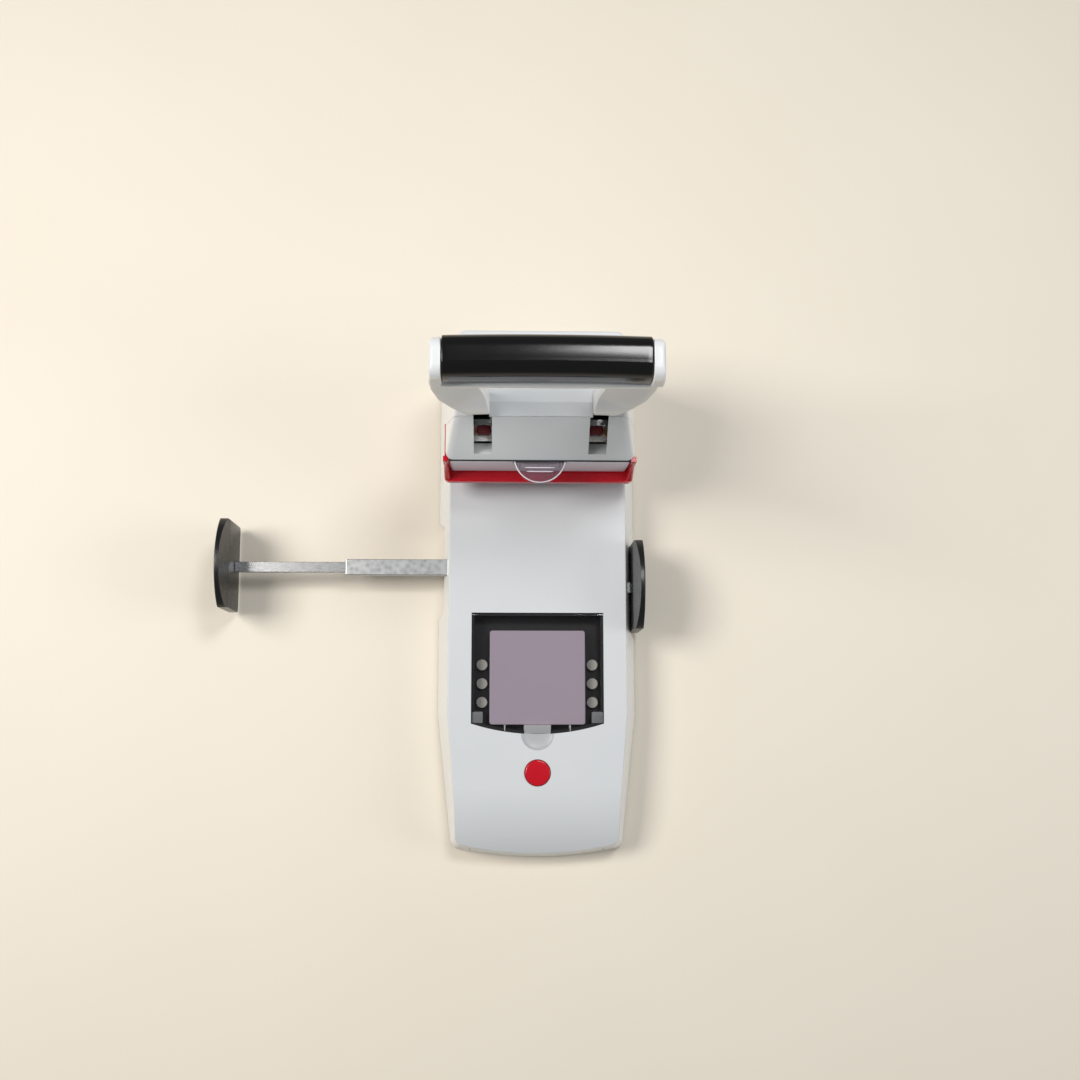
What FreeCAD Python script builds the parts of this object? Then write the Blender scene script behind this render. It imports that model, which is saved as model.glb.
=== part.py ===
import FreeCAD, Part
import math
import os
import Sketcher
from types import SimpleNamespace

# A heavy two-hole lever punch. The origin lies on the desk, midway between the two punches.
# +X is to the right, +Y to the rear and +Z up. All lengths are in millimetres.

driving = {
    # base
    "table_top": 36.0,
    "ground_gap": 1.5,
    "base_wall": 2.5,
    "base_foot_half": 75.3,
    "side_slope": 8.7,
    "front_taper": 10.8,
    "top_front_taper": 7.6,
    "base_rear": 66.0,
    "taper_before_lid_front": 7.3,
    "button_beyond_lid": 35.9,
    "roll_beyond_lid": 47.7,
    "corner_beyond_roll": 44.0,
    "front_slope": 6.0,
    "bulge_radius": 292.0,
    "roll_radius": 80.0,
    "roll_end_angle": 48.0,
    "base_corner": 7.0,
    "base_edge": 1.0,
    "foot_height": 3.0,
    "foot_half": 56.0,
    "foot_depth": 34.0,
    "rear_foot_behind": 46.0,
    "front_foot_inset": 7.0,
    "plate_thickness": 2.0,
    "seat_gap": 0.3,
    "plate_clearance": 0.9,
    "cut_past": 1.0,
    "cut_margin": 10.0,
    # punching line
    "punch_spread": 40.0,
    "punch_radius": 3.0,
    "running_gap": 0.05,
    "die_thickness": 4.0,
    "die_front": 16.0,
    "die_rear": 12.0,
    "die_bush_radius": 6.0,
    "paper_depth": 12.3,
    "back_stop_thickness": 1.7,
    "throat_height": 24.0,
    # steel frames
    "frame_inner": 56.0,
    "frame_thickness": 3.0,
    "frame_column": 20.0,
    "shoulder_drop": 3.0,
    "frame_rear": 56.0,
    "frame_top": 112.0,
    "guide_thickness": 6.0,
    "tie_radius": 5.0,
    "tie_reach": 46.0,
    "tie_low": 52.0,
    "tie_high": 102.0,
    "screw_radius": 2.5,
    "screw_head_radius": 4.2,
    "screw_head_height": 2.2,
    # pivot
    "pivot_y": 22.0,
    "pivot_z": 95.0,
    "shaft_radius": 6.0,
    "shaft_over": 2.4,
    "hub_radius": 10.0,
    "hub_half": 45.0,
    "ring_radius": 8.5,
    "ring_thickness": 1.1,
    "spring_wire": 2.0,
    "spring_inner": 6.6,
    # carriage
    "beam_low": 92.5,
    "beam_height": 6.0,
    "beam_end_height": 10.0,
    "beam_front": 9.0,
    "beam_rear": 7.0,
    "beam_half": 55.5,
    "beam_middle_half": 33.0,
    "column_spread": 50.0,
    "column_radius": 3.5,
    "column_y": -1.5,
    "bush_wall": 1.2,
    "cap_radius": 6.0,
    "cap_height": 5.0,
    "pin_radius": 3.5,
    "pin_y": -6.0,
    "pin_z": 108.0,
    "fork_spread": 25.0,
    "fork_thickness": 6.0,
    "fork_half_width": 6.0,
    "fork_reach": 35.4,
    "fork_slack": 0.9,
    "ear_wall": 1.5,
    "ear_gap": 1.5,
    "ear_thickness": 3.5,
    # head covers
    "head_half": 65.0,
    "head_front": 22.4,
    "housing_front": 23.7,
    "head_front_low": 23.4,
    "head_rear": 62.0,
    "head_wall": 2.5,
    "seam_z": 101.0,
    "gasket_height": 1.0,
    "column_front": 14.0,
    "cover_half": 67.2,
    "cover_top_half": 57.0,
    "cover_slope": 0.8133,
    "cover_peak": 146.0,
    "crest_y": 2.0,
    "step_y": 11.0,
    "step_rise": 5.0,
    "cover_corner": 6.0,
    "cover_edge": 1.6,
    "cover_split": 0.2,
    "cover_rear_lean": 3.0,
    "slot_half_width": 6.45,
    "slot_front": 19.0,
    "slot_rear": 18.5,
    "slot_spread": 40.5,
    # red guide frame
    "frame_lip_half": 69.5,
    "frame_lip_front": 31.2,
    "frame_lip_height": 6.0,
    "frame_rim_height": 8.0,
    "post_width": 4.0,
    "post_depth": 4.0,
    "lip_corner": 4.0,
    # release tab
    "tab_radius": 19.0,
    "tab_y": -20.0,
    "tab_thickness": 3.0,
    "tab_drop": 0.5,
    "tab_tail": 8.0,
    # lever and handle
    "arm_spread": 40.5,
    "arm_thickness": 5.0,
    "arm_half_width": 5.5,
    "boss_wall": 3.0,
    "arm_lean": 14.8,
    "arm_length": 52.0,
    "handle_half": 71.0,
    "handle_waist": 64.0,
    "handle_screw_inset": 3.5,
    "handle_tip_z": 137.0,
    "handle_flare_z": 140.0,
    "handle_waist_z": 155.0,
    "handle_full_z": 190.0,
    "handle_tip_outer": 45.2,
    "handle_flare_outer": 48.0,
    "handle_tip_inner": 36.2,
    "handle_inner": 42.4,
    "handle_front_tip": 0.5,
    "handle_front": 5.0,
    "handle_rear_tip": 17.2,
    "handle_rear": 23.0,
    "handle_rim": 5.0,
    "handle_dish": 15.0,
    "grip_y": 6.0,
    "grip_z": 253.0,
    "grip_depth": 30.0,
    "grip_height": 28.0,
    "grip_half": 63.5,
    "grip_round": 9.0,
    "core_depth": 12.0,
    "core_height": 14.0,
    "bar_thickness": 4.0,
    "handle_screw_radius": 2.0,
    # storage
    "lid_half": 49.3,
    "lid_rear": 125.0,
    "lid_side_reach": 207.3,
    "lid_bulge_radius": 161.7,
    "lid_thickness": 2.4,
    "hinge_radius": 1.2,
    "hinge_pin_radius": 0.6,
    "hinge_pin_length": 5.0,
    "hinge_end_gap": 2.3,
    "tray_ledge": 2.0,
    "tray_floor_z": 18.0,
    "tray_floor": 1.5,
    "case_half": 35.7,
    "case_height": 12.0,
    "case_beyond_lid": 0.7,
    "case_end_gap": 12.3,
    "disc_radius": 4.0,
    "disc_height": 4.0,
    "disc_pitch": 14.0,
    "disc_setback": 6.0,
    "notch_radius": 12.2,
    "notch_beyond_lid": 7.3,
    "notch_depth": 1.8,
    # button
    "button_radius": 9.5,
    "button_gap": 0.4,
    "button_rise": 1.4,
    "button_round": 1.0,
    "button_flange": 1.4,
    "button_flange_height": 2.0,
    "cup_wall": 2.0,
    "cup_low": 17.5,
    "button_spring_radius": 5.0,
    # chip drawer
    "drawer_half": 50.0,
    "drawer_height": 10.5,
    "drawer_rear": 20.0,
    "drawer_wall": 1.6,
    "drawer_front_wall": 6.0,
    # side stops
    "dock_depth": 4.6,
    "dock_length": 77.0,
    "rail_setback": 4.7,
    "dock_flare": 6.0,
    "stop_left_reach": 90.0,
    "stop_right_reach": 105.0,
    "stop_length": 66.0,
    "stop_thickness": 7.0,
    "stop_low": 8.0,
    "stop_end_height": 52.0,
    "stop_arch_radius": 42.0,
    "rail_z": 25.5,
    "rail_height": 7.0,
    "rail_width": 12.0,
    "rail_length": 125.0,
    "bar_height": 4.0,
    "bar_width": 8.0,
    "bar_length": 121.0,
    "guide_wall": 2.0,
    "guide_length": 40.0,
    "stage_travel": 78.75,
}

doc = FreeCAD.newDocument("HolePunch")
sheet = doc.addObject("Spreadsheet::Sheet", "Sizes")
for row, (alias, number) in enumerate(driving.items(), start=1):
    sheet.set(f"A{row}", alias)
    sheet.set(f"B{row}", str(number))
    sheet.setAlias(f"B{row}", alias)
doc.recompute()

sub_parts = []


class Size(float):
    """A number that remembers the sheet formula it was worked out from."""

    def __new__(cls, value, text):
        size = super().__new__(cls, value)
        size.text = text
        return size

    def __add__(self, other):
        return combine(self, "+", other, float(self) + float(other))

    def __radd__(self, other):
        return combine(other, "+", self, float(other) + float(self))

    def __sub__(self, other):
        return combine(self, "-", other, float(self) - float(other))

    def __rsub__(self, other):
        return combine(other, "-", self, float(other) - float(self))

    def __mul__(self, other):
        return combine(self, "*", other, float(self) * float(other))

    def __rmul__(self, other):
        return combine(other, "*", self, float(other) * float(self))

    def __truediv__(self, other):
        return combine(self, "/", other, float(self) / float(other))

    def __neg__(self):
        return combine(0.0, "-", self, -float(self))


def formula(value):
    return value.text if isinstance(value, Size) else repr(float(value))


def combine(first, sign, second, result):
    return Size(result, f"({formula(first)} {sign} {formula(second)})")


def sine(degrees):
    return Size(math.sin(math.radians(degrees)), f"sin({formula(degrees)} * 1 deg)")


def cosine(degrees):
    return Size(math.cos(math.radians(degrees)), f"cos({formula(degrees)} * 1 deg)")


def angle_of(across, along):
    return Size(math.degrees(math.atan2(across, along)), f"(atan({formula(across / along)}) / 1 deg)")


s = SimpleNamespace(**{alias: Size(number, f"Sizes.{alias}") for alias, number in driving.items()})

# Levels and places that several pieces share
base_top_half = s.base_foot_half - s.side_slope
base_front_half = s.base_foot_half - s.front_taper
top_front_half = base_top_half - s.top_front_taper
taper_reach = s.lid_side_reach - s.taper_before_lid_front
button_reach = s.lid_side_reach + s.button_beyond_lid
roll_reach = s.lid_side_reach + s.roll_beyond_lid
corner_reach = roll_reach + s.corner_beyond_roll
top_corner_reach = corner_reach - s.front_slope
notch_y = -s.lid_side_reach - s.notch_beyond_lid
case_length = s.lid_side_reach - s.lid_rear - s.case_end_gap
dock_face = s.base_foot_half - s.dock_depth
rail_end = dock_face - s.rail_setback
top_under = s.table_top - s.base_wall
plate_top = s.foot_height + s.plate_thickness
die_low = s.table_top - s.die_thickness
guide_low = s.table_top + s.throat_height
guide_top = guide_low + s.guide_thickness
rim_top = guide_low + s.frame_rim_height
cover_low = s.seam_z + s.gasket_height
frame_outer = s.frame_inner + s.frame_thickness
beam_top = s.beam_low + s.beam_height
beam_end_top = s.beam_low + s.beam_end_height
crest_z = cover_low + (s.crest_y + s.head_front) / s.cover_slope
step_z = crest_z + s.step_rise
drawer_low = plate_top + s.seat_gap
drawer_top = drawer_low + s.drawer_height


def bind(item, path, value):
    item.setExpression(path, formula(value))


def keep(item, label):
    """Marks the finished object as the sub-part with this name."""
    item.Label = label
    sub_parts.append(item)
    return item


def block(name, x, y, z):
    """A box between a low and a high value along each axis."""
    box = doc.addObject("Part::Box", name)
    for axis, side, (low, high) in zip("xyz", ("Length", "Width", "Height"), (x, y, z)):
        bind(box, side, high - low)
        bind(box, f".Placement.Base.{axis}", low)
    return box


turns = {
    "x": FreeCAD.Rotation(FreeCAD.Vector(0, 1, 0), 90),
    "y": FreeCAD.Rotation(FreeCAD.Vector(1, 0, 0), -90),
    "z": FreeCAD.Rotation(),
}


def rod(name, radius, axis, span, first, second):
    """A cylinder along an axis; first and second are its other two coordinates in X, Y, Z order."""
    cylinder = doc.addObject("Part::Cylinder", name)
    cylinder.Placement = FreeCAD.Placement(FreeCAD.Vector(), turns[axis])
    low, high = span
    bind(cylinder, "Radius", radius)
    bind(cylinder, "Height", high - low)
    others = [letter for letter in "xyz" if letter != axis]
    for letter, value in zip([axis] + others, (low, first, second)):
        bind(cylinder, f".Placement.Base.{letter}", value)
    return cylinder


def fuse(name, *pieces):
    union = doc.addObject("Part::MultiFuse", name)
    union.Shapes = list(pieces)
    return union


def cut(name, base, *tools):
    difference = doc.addObject("Part::Cut", name)
    difference.Base = base
    difference.Tool = tools[0] if len(tools) == 1 else fuse(f"{name}_tools", *tools)
    return difference


def common(name, first, second):
    overlap = doc.addObject("Part::Common", name)
    overlap.Base = first
    overlap.Tool = second
    return overlap


def group(name, *pieces):
    """Identical pieces kept as separate solids in one sub-part."""
    compound = doc.addObject("Part::Compound", name)
    compound.Links = list(pieces)
    return compound


def new_body(name):
    return doc.addObject("PartDesign::Body", name)


def sketch_on(body, plane, offset, *outlines):
    """A sketch on one of the body's own planes, moved along the plane's normal by offset."""
    sketch = body.newObject("Sketcher::SketchObject", f"{body.Name}_sketch")
    origin_plane = [item for item in body.Origin.OriginFeatures if item.Role == f"{plane}_Plane"][0]
    sketch.AttachmentSupport = [(origin_plane, "")]
    sketch.MapMode = "FlatFace"
    bind(sketch, ".AttachmentOffset.Base.z", offset)
    for outline in outlines:
        if isinstance(outline, list):
            draw_outline(sketch, outline)
        else:
            draw_circle(sketch, *outline)
    return sketch


def hold(sketch, kind, geometry, position, value):
    """Holds one coordinate of a sketch point at a formula."""
    index = sketch.addConstraint(Sketcher.Constraint(kind, -1, 1, geometry, position, float(value)))
    bind(sketch, f"Constraints[{index}]", value)


def draw_circle(sketch, x, y, radius):
    centre = FreeCAD.Vector(x, y, 0)
    circle = sketch.addGeometry(Part.Circle(centre, FreeCAD.Vector(0, 0, 1), radius))
    index = sketch.addConstraint(Sketcher.Constraint("Radius", circle, float(radius)))
    bind(sketch, f"Constraints[{index}]", radius)
    hold(sketch, "DistanceX", circle, 3, x)
    hold(sketch, "DistanceY", circle, 3, y)


def arc_between(start, end, radius):
    """The short arc from start to end; its centre is on the left for a positive radius."""
    chord = end - start
    left = FreeCAD.Vector(-chord.y, chord.x, 0).normalize()
    size = abs(radius)
    rise = math.sqrt(size ** 2 - chord.Length ** 2 / 4)
    centre = (start + end) / 2 + left * math.copysign(rise, radius)
    first, last = (start, end) if radius > 0 else (end, start)
    begin = math.atan2(first.y - centre.y, first.x - centre.x)
    finish = math.atan2(last.y - centre.y, last.x - centre.x)
    if finish < begin:
        finish += 2 * math.pi
    circle = Part.Circle(centre, FreeCAD.Vector(0, 0, 1), size)
    return Part.ArcOfCircle(circle, begin, finish)


def draw_outline(sketch, points):
    """A closed outline. A point with a third value starts an arc of that radius."""
    segments = []
    for index, point in enumerate(points):
        after = points[(index + 1) % len(points)]
        start = FreeCAD.Vector(point[0], point[1], 0)
        end = FreeCAD.Vector(after[0], after[1], 0)
        if len(point) == 2:
            line = sketch.addGeometry(Part.LineSegment(start, end))
            segments.append((line, 1, 2))
        else:
            radius = point[2]
            arc = sketch.addGeometry(arc_between(start, end, radius))
            number = sketch.addConstraint(Sketcher.Constraint("Radius", arc, abs(float(radius))))
            bind(sketch, f"Constraints[{number}]", radius if radius > 0 else -radius)
            segments.append((arc, 1, 2) if radius > 0 else (arc, 2, 1))
    for index, (geometry, _, last) in enumerate(segments):
        following, first, _ = segments[(index + 1) % len(segments)]
        sketch.addConstraint(Sketcher.Constraint("Coincident", geometry, last, following, first))
    for (geometry, first, _), point in zip(segments, points):
        hold(sketch, "DistanceX", geometry, first, point[0])
        hold(sketch, "DistanceY", geometry, first, point[1])


def pad(body, plane, span, *outlines):
    """Adds the outline between two values along the plane's axis."""
    low, high = span
    offset = -high if plane == "XZ" else low
    feature = body.newObject("PartDesign::Pad", f"{body.Name}_pad")
    feature.Profile = sketch_on(body, plane, offset, *outlines)
    bind(feature, "Length", high - low)
    return feature


def pocket(body, plane, span, *outlines):
    """Cuts the outline away between two values along the plane's axis."""
    low, high = span
    offset = -low if plane == "XZ" else high
    feature = body.newObject("PartDesign::Pocket", f"{body.Name}_pocket")
    feature.Profile = sketch_on(body, plane, offset, *outlines)
    bind(feature, "Length", high - low)
    return feature


def loft(body, plane, lower, upper):
    """Joins two outlines, each given as (level, points), with straight walls."""
    sketches = [sketch_on(body, plane, level, points) for level, points in (lower, upper)]
    feature = body.newObject("PartDesign::AdditiveLoft", f"{body.Name}_loft")
    feature.Profile = sketches[0]
    feature.Sections = [sketches[1]]
    feature.Ruled = True
    return feature


def round_edges(body, radius, chosen, kind="Fillet"):
    """Rounds or chamfers each edge of the body for which chosen(edge) is true."""
    doc.recompute()
    tip = body.Tip
    names = [f"Edge{number}" for number, edge in enumerate(tip.Shape.Edges, start=1) if chosen(edge)]
    feature = body.newObject(f"PartDesign::{kind}", f"{body.Name}_{kind.lower()}")
    feature.Base = (tip, names)
    bind(feature, "Radius" if kind == "Fillet" else "Size", radius)
    return feature


def rectangle(x, y):
    return [(x[0], y[0]), (x[1], y[0]), (x[1], y[1]), (x[0], y[1])]


def both(half):
    return (-half, half)


def is_upright(edge):
    box = edge.BoundBox
    return box.ZLength > max(box.XLength, box.YLength)


# Base

def base_outline(half, front_half, rear, taper, corner, bulge):
    """The base seen from above: straight sides that taper to a bowed front."""
    return [
        (-half, rear),
        (-half, -taper),
        (-front_half, -corner, bulge),
        (front_half, -corner),
        (half, -taper),
        (half, rear),
    ]


def base_block(name, inset, side_inset, low):
    """The base as a solid, set in from its outer faces, with its top rolled down at the front."""
    body = new_body(name)
    lower = base_outline(s.base_foot_half - side_inset, base_front_half - side_inset,
                         s.base_rear - inset, taper_reach, corner_reach - inset, s.bulge_radius)
    upper = base_outline(base_top_half - inset, top_front_half - inset,
                         s.base_rear - inset, taper_reach, top_corner_reach - inset, s.bulge_radius)
    loft(body, "XY", (low, lower), (s.table_top - inset, upper))
    radius = s.roll_radius - inset
    top = s.table_top - inset
    centre_z = s.table_top - s.roll_radius
    end = (-roll_reach - radius * sine(s.roll_end_angle), centre_z + radius * cosine(s.roll_end_angle))
    beyond = -corner_reach - s.roll_radius
    roll = [
        (-roll_reach, top, radius),
        end,
        (beyond, end[1]),
        (beyond, top + s.base_wall),
        (-roll_reach, top + s.base_wall),
    ]
    pocket(body, "YZ", both(s.base_foot_half), roll)
    return body


def base_shell():
    outer = base_block("base_outer", 0.0, 0.0, s.ground_gap)
    round_edges(outer, s.base_corner, is_base_corner)
    round_edges(outer, s.base_edge, is_base_rim)
    side_inset = s.base_foot_half - dock_face + s.base_wall
    inner = base_block("base_inner", s.base_wall, side_inset, 0.0)
    tools = [inner]
    clear = s.seat_gap
    high = (top_under - s.cut_past, s.table_top + s.cut_past)
    die_y = (-s.die_front - clear, s.die_rear + clear)
    tools.append(block("die_opening", both(frame_outer + clear), die_y, high))
    column_opening = (s.column_front + s.head_wall, s.head_rear - s.head_wall)
    tools.append(block("column_opening", both(frame_outer + clear), column_opening, high))
    lid_opening = new_body("lid_opening")
    pad(lid_opening, "XY", high, lid_outline(0.0))
    tools.append(lid_opening)
    notch_low = s.table_top - s.notch_depth
    tools.append(rod("thumb_notch", s.notch_radius, "z", (notch_low, s.table_top + s.cut_past), 0.0, notch_y))
    tools.append(rod("button_hole", s.button_radius + s.button_gap, "z", high, 0.0, -button_reach))
    drawer_x = both(s.drawer_half + clear)
    tunnel_y = (-corner_reach - s.roll_radius / 4.0, -roll_reach)
    tools.append(block("drawer_tunnel", drawer_x, tunnel_y, (plate_top, drawer_top + clear)))
    tools.append(hinge_pin_rod("hinge_pin_bore_left", -1.0))
    tools.append(hinge_pin_rod("hinge_pin_bore_right", 1.0))
    for side, sign, reach in stop_sides:
        tools.append(dock_recess(f"dock_{side}", sign, reach))
        window_x = side_span(sign, base_top_half - 2.0 * s.base_wall, s.base_foot_half + s.cut_past)
        half = s.rail_width / 2.0 + s.seat_gap
        rise = s.rail_height / 2.0 + s.seat_gap
        window_z = (s.rail_z - rise, s.rail_z + rise)
        tools.append(block(f"rail_window_{side}", window_x, (-reach - half, -reach + half), window_z))
    keep(cut("base_shell_cut", outer, *tools), "base_shell")


def is_base_corner(edge):
    """True for the upright edges at the rear and front corners, not the bends where the sides taper."""
    return is_upright(edge) and abs(edge.BoundBox.YMax + taper_reach) > 5.0


def is_base_rim(edge):
    """True for the edge all round the top, not the line where the flat top meets the front roll."""
    box = edge.BoundBox
    on_crease = box.YLength < 0.01 and abs(box.YMin + roll_reach) < 0.5
    return box.ZMin > s.table_top / 4.0 and not on_crease


def side_span(sign, near, far):
    """A span along X on one side, nearest and farthest from the middle."""
    return (near, far) if sign > 0 else (-far, -near)


def dock_recess(name, sign, reach):
    """The hollow with flared ends in the base's side where a stop plate parks."""
    body = new_body(name)
    outside = s.base_foot_half + s.cut_past
    short = s.dock_length / 2.0 - s.dock_flare
    long = s.dock_length / 2.0
    outline = [
        (sign * dock_face, -reach - short),
        (sign * outside, -reach - long),
        (sign * outside, -reach + long),
        (sign * dock_face, -reach + short),
    ]
    pad(body, "XY", (0.0, s.table_top + s.cut_past), outline)
    return body


stop_sides = (("left", -1.0, s.stop_left_reach), ("right", 1.0, s.stop_right_reach))


def base_plate():
    body = new_body("base_plate_body")
    half = dock_face - s.base_wall - s.plate_clearance
    outline = [
        (-half, s.base_rear - s.base_wall - s.seat_gap),
        (-half, -taper_reach),
        (-s.foot_half - 2.0, -roll_reach),
        (s.foot_half + 2.0, -roll_reach),
        (half, -taper_reach),
        (half, s.base_rear - s.base_wall - s.seat_gap),
    ]
    pad(body, "XY", (s.foot_height, plate_top), outline)
    keep(body, "base_plate")


def feet():
    rear_low = s.rear_foot_behind - 2.0 * s.foot_depth
    front_low = s.front_foot_inset - roll_reach
    for label, y_low in (("foot_rear", rear_low), ("foot_front", front_low)):
        depth = 2.0 * s.foot_depth if label == "foot_rear" else s.foot_depth
        body = new_body(f"{label}_body")
        pad(body, "XY", (0.0, s.foot_height), rectangle(both(s.foot_half), (y_low, y_low + depth)))
        round_edges(body, s.foot_height, is_upright)
        keep(body, label)


# Steel frames and the punching line

def side_frame(side, sign):
    body = new_body(f"side_frame_{side}_body")
    step_y = s.paper_depth - s.seat_gap
    shoulder = s.seam_z - s.shoulder_drop
    outline = [
        (-s.die_front, plate_top),
        (s.frame_rear, plate_top),
        (s.frame_rear, s.frame_top),
        (s.crest_y, s.frame_top),
        (-s.die_front, shoulder),
        (-s.die_front, guide_top),
        (step_y, guide_top),
        (step_y, rim_top + s.cut_past),
        (s.frame_column, rim_top + s.cut_past),
        (s.frame_column, die_low),
        (-s.die_front, die_low),
    ]
    holes = [(s.pivot_y, s.pivot_z, s.shaft_radius)]
    holes += [(s.tie_reach, level, s.screw_radius) for level in (s.tie_low, s.tie_high)]
    pad(body, "YZ", side_span(sign, s.frame_inner, frame_outer), outline, *holes)
    keep(body, f"side_frame_{side}")


def frame_ties():
    ties = []
    for place, level in (("low", s.tie_low), ("high", s.tie_high)):
        bar = rod(f"tie_{place}", s.tie_radius, "x", both(s.frame_inner), s.tie_reach, level)
        bore = rod(f"tie_{place}_bore", s.screw_radius, "x", both(s.frame_inner), s.tie_reach, level)
        ties.append(cut(f"tie_{place}_cut", bar, bore))
    keep(group("frame_ties_group", *ties), "frame_ties")


def frame_screws():
    screws = []
    for side, sign in (("left", -1.0), ("right", 1.0)):
        for place, level in (("low", s.tie_low), ("high", s.tie_high)):
            shank_x = side_span(sign, s.frame_inner - 4.0 * s.screw_radius, frame_outer)
            head_x = side_span(sign, frame_outer, frame_outer + s.screw_head_height)
            name = f"frame_screw_{side}_{place}"
            shank = rod(f"{name}_shank", s.screw_radius, "x", shank_x, s.tie_reach, level)
            head = rod(f"{name}_head", s.screw_head_radius, "x", head_x, s.tie_reach, level)
            screws.append(fuse(name, shank, head))
    keep(group("frame_screws_group", *screws), "frame_screws")


def die_plate():
    body = new_body("die_plate_body")
    holes = [(x, 0.0, s.die_bush_radius) for x in both(s.punch_spread)]
    outline = rectangle(both(frame_outer), (-s.die_front, s.die_rear))
    pad(body, "XY", (die_low, s.table_top), outline, *holes)
    keep(body, "die_plate")


def die_bushes():
    bushes = []
    for side, x in zip(("left", "right"), both(s.punch_spread)):
        body = new_body(f"die_bush_{side}")
        ring = [(x, 0.0, s.die_bush_radius), (x, 0.0, s.punch_radius + s.running_gap)]
        pad(body, "XY", (die_low, s.table_top), *ring)
        bushes.append(body)
    keep(group("die_bushes_group", *bushes), "die_bushes")


def paper_back_stop():
    y = (s.paper_depth, s.paper_depth + s.back_stop_thickness)
    keep(block("paper_back_stop_block", both(s.head_half - s.head_wall), y, (s.table_top, guide_low)),
         "paper_back_stop")


def punch_guide_plate():
    body = new_body("punch_guide_plate_body")
    holes = [(x, 0.0, s.punch_radius + s.running_gap) for x in both(s.punch_spread)]
    holes += [(x, s.column_y, s.column_radius) for x in both(s.column_spread)]
    outline = rectangle(both(frame_outer), (-s.die_front, s.die_rear))
    pad(body, "XY", (guide_low, guide_top), outline, *holes)
    keep(body, "punch_guide_plate")


def guide_columns():
    for side, x in zip(("left", "right"), both(s.column_spread)):
        column_z = (guide_low, s.frame_top)
        column = rod(f"guide_column_{side}_rod", s.column_radius, "z", column_z, x, s.column_y)
        keep(column, f"guide_column_{side}")


def pivot_shaft():
    end = frame_outer + s.shaft_over
    keep(rod("pivot_shaft_rod", s.shaft_radius, "x", both(end), s.pivot_y, s.pivot_z), "pivot_shaft")


def shaft_rings():
    rings = []
    for side, sign in (("left", -1.0), ("right", 1.0)):
        body = new_body(f"shaft_ring_{side}")
        x = side_span(sign, frame_outer, frame_outer + s.ring_thickness)
        ring = [(s.pivot_y, s.pivot_z, s.ring_radius), (s.pivot_y, s.pivot_z, s.shaft_radius)]
        pad(body, "YZ", x, *ring)
        rings.append(body)
    keep(group("shaft_rings_group", *rings), "shaft_rings")


def coil(name, axis_turn, place, inner, wire, length):
    """A close-wound coil spring: a sleeve whose outside is a row of half-round turns."""
    turn_count = int(length / wire)
    pitch = length / turn_count
    points = []
    for number in range(turn_count):
        points.append((inner + wire / 2.0, pitch * number, pitch * 0.55))
    points.append((inner + wire / 2.0, length))
    points += [(inner, length), (inner, 0.0)]
    spring = doc.addObject("PartDesign::Body", name)
    profile = sketch_on(spring, "XZ", 0.0, points)
    doc.recompute()
    turned = spring.newObject("PartDesign::Revolution", f"{name}_turned")
    turned.Profile = profile
    turned.ReferenceAxis = (profile, ["V_Axis"])
    turned.Angle = 360.0
    spring.Placement = FreeCAD.Placement(FreeCAD.Vector(), axis_turn)
    for letter, value in zip("xyz", place):
        bind(spring, f".Placement.Base.{letter}", value)
    return spring


def return_springs():
    gap = s.seat_gap
    length = s.frame_inner - s.hub_half - 2.0 * gap
    for side, start in (("left", -s.frame_inner + gap), ("right", s.hub_half + gap)):
        place = (start, s.pivot_y, s.pivot_z)
        spring = coil(f"return_spring_{side}_body", turns["x"], place, s.spring_inner, s.spring_wire, length)
        keep(spring, f"return_spring_{side}")


# Head covers

def head_lower_housing():
    body = new_body("head_lower_housing_body")
    outer = [
        (s.column_front, s.table_top),
        (s.head_rear, s.table_top),
        (s.head_rear, s.seam_z),
        (-s.housing_front, s.seam_z),
        (-s.head_front_low, rim_top),
        (s.column_front, rim_top),
    ]
    pad(body, "YZ", both(s.head_half), outer)
    round_edges(body, s.cover_corner / 2.0, is_upright)
    wall = s.head_wall
    inner = [
        (s.column_front + wall, s.table_top - s.cut_past),
        (s.head_rear - wall, s.table_top - s.cut_past),
        (s.head_rear - wall, s.seam_z + s.cut_past),
        (wall - s.housing_front, s.seam_z + s.cut_past),
        (wall - s.head_front_low, rim_top - s.cut_past),
        (s.column_front + wall, rim_top - s.cut_past),
    ]
    pocket(body, "YZ", both(s.head_half - wall), inner)
    tab_low = s.seam_z - s.tab_drop - s.tab_thickness - s.seat_gap
    tab_slot = rectangle(both(s.tab_radius + s.seat_gap), (tab_low, s.seam_z + s.cut_past))
    front_wall_y = (-s.housing_front - s.cut_past, -s.head_front_low + s.head_wall + s.cut_past)
    pocket(body, "XZ", front_wall_y, tab_slot)
    keep(body, "head_lower_housing")


def head_seam_gasket():
    body = new_body("head_seam_gasket_body")
    inset = s.seat_gap
    outer = rectangle(both(s.head_half - inset), (inset - s.housing_front, s.head_rear - inset))
    wall = s.head_wall
    inner = rectangle(both(s.head_half - wall), (wall - s.housing_front, s.head_rear - wall))
    pad(body, "XY", (s.seam_z, cover_low), outer, inner)
    keep(body, "head_seam_gasket")


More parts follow.
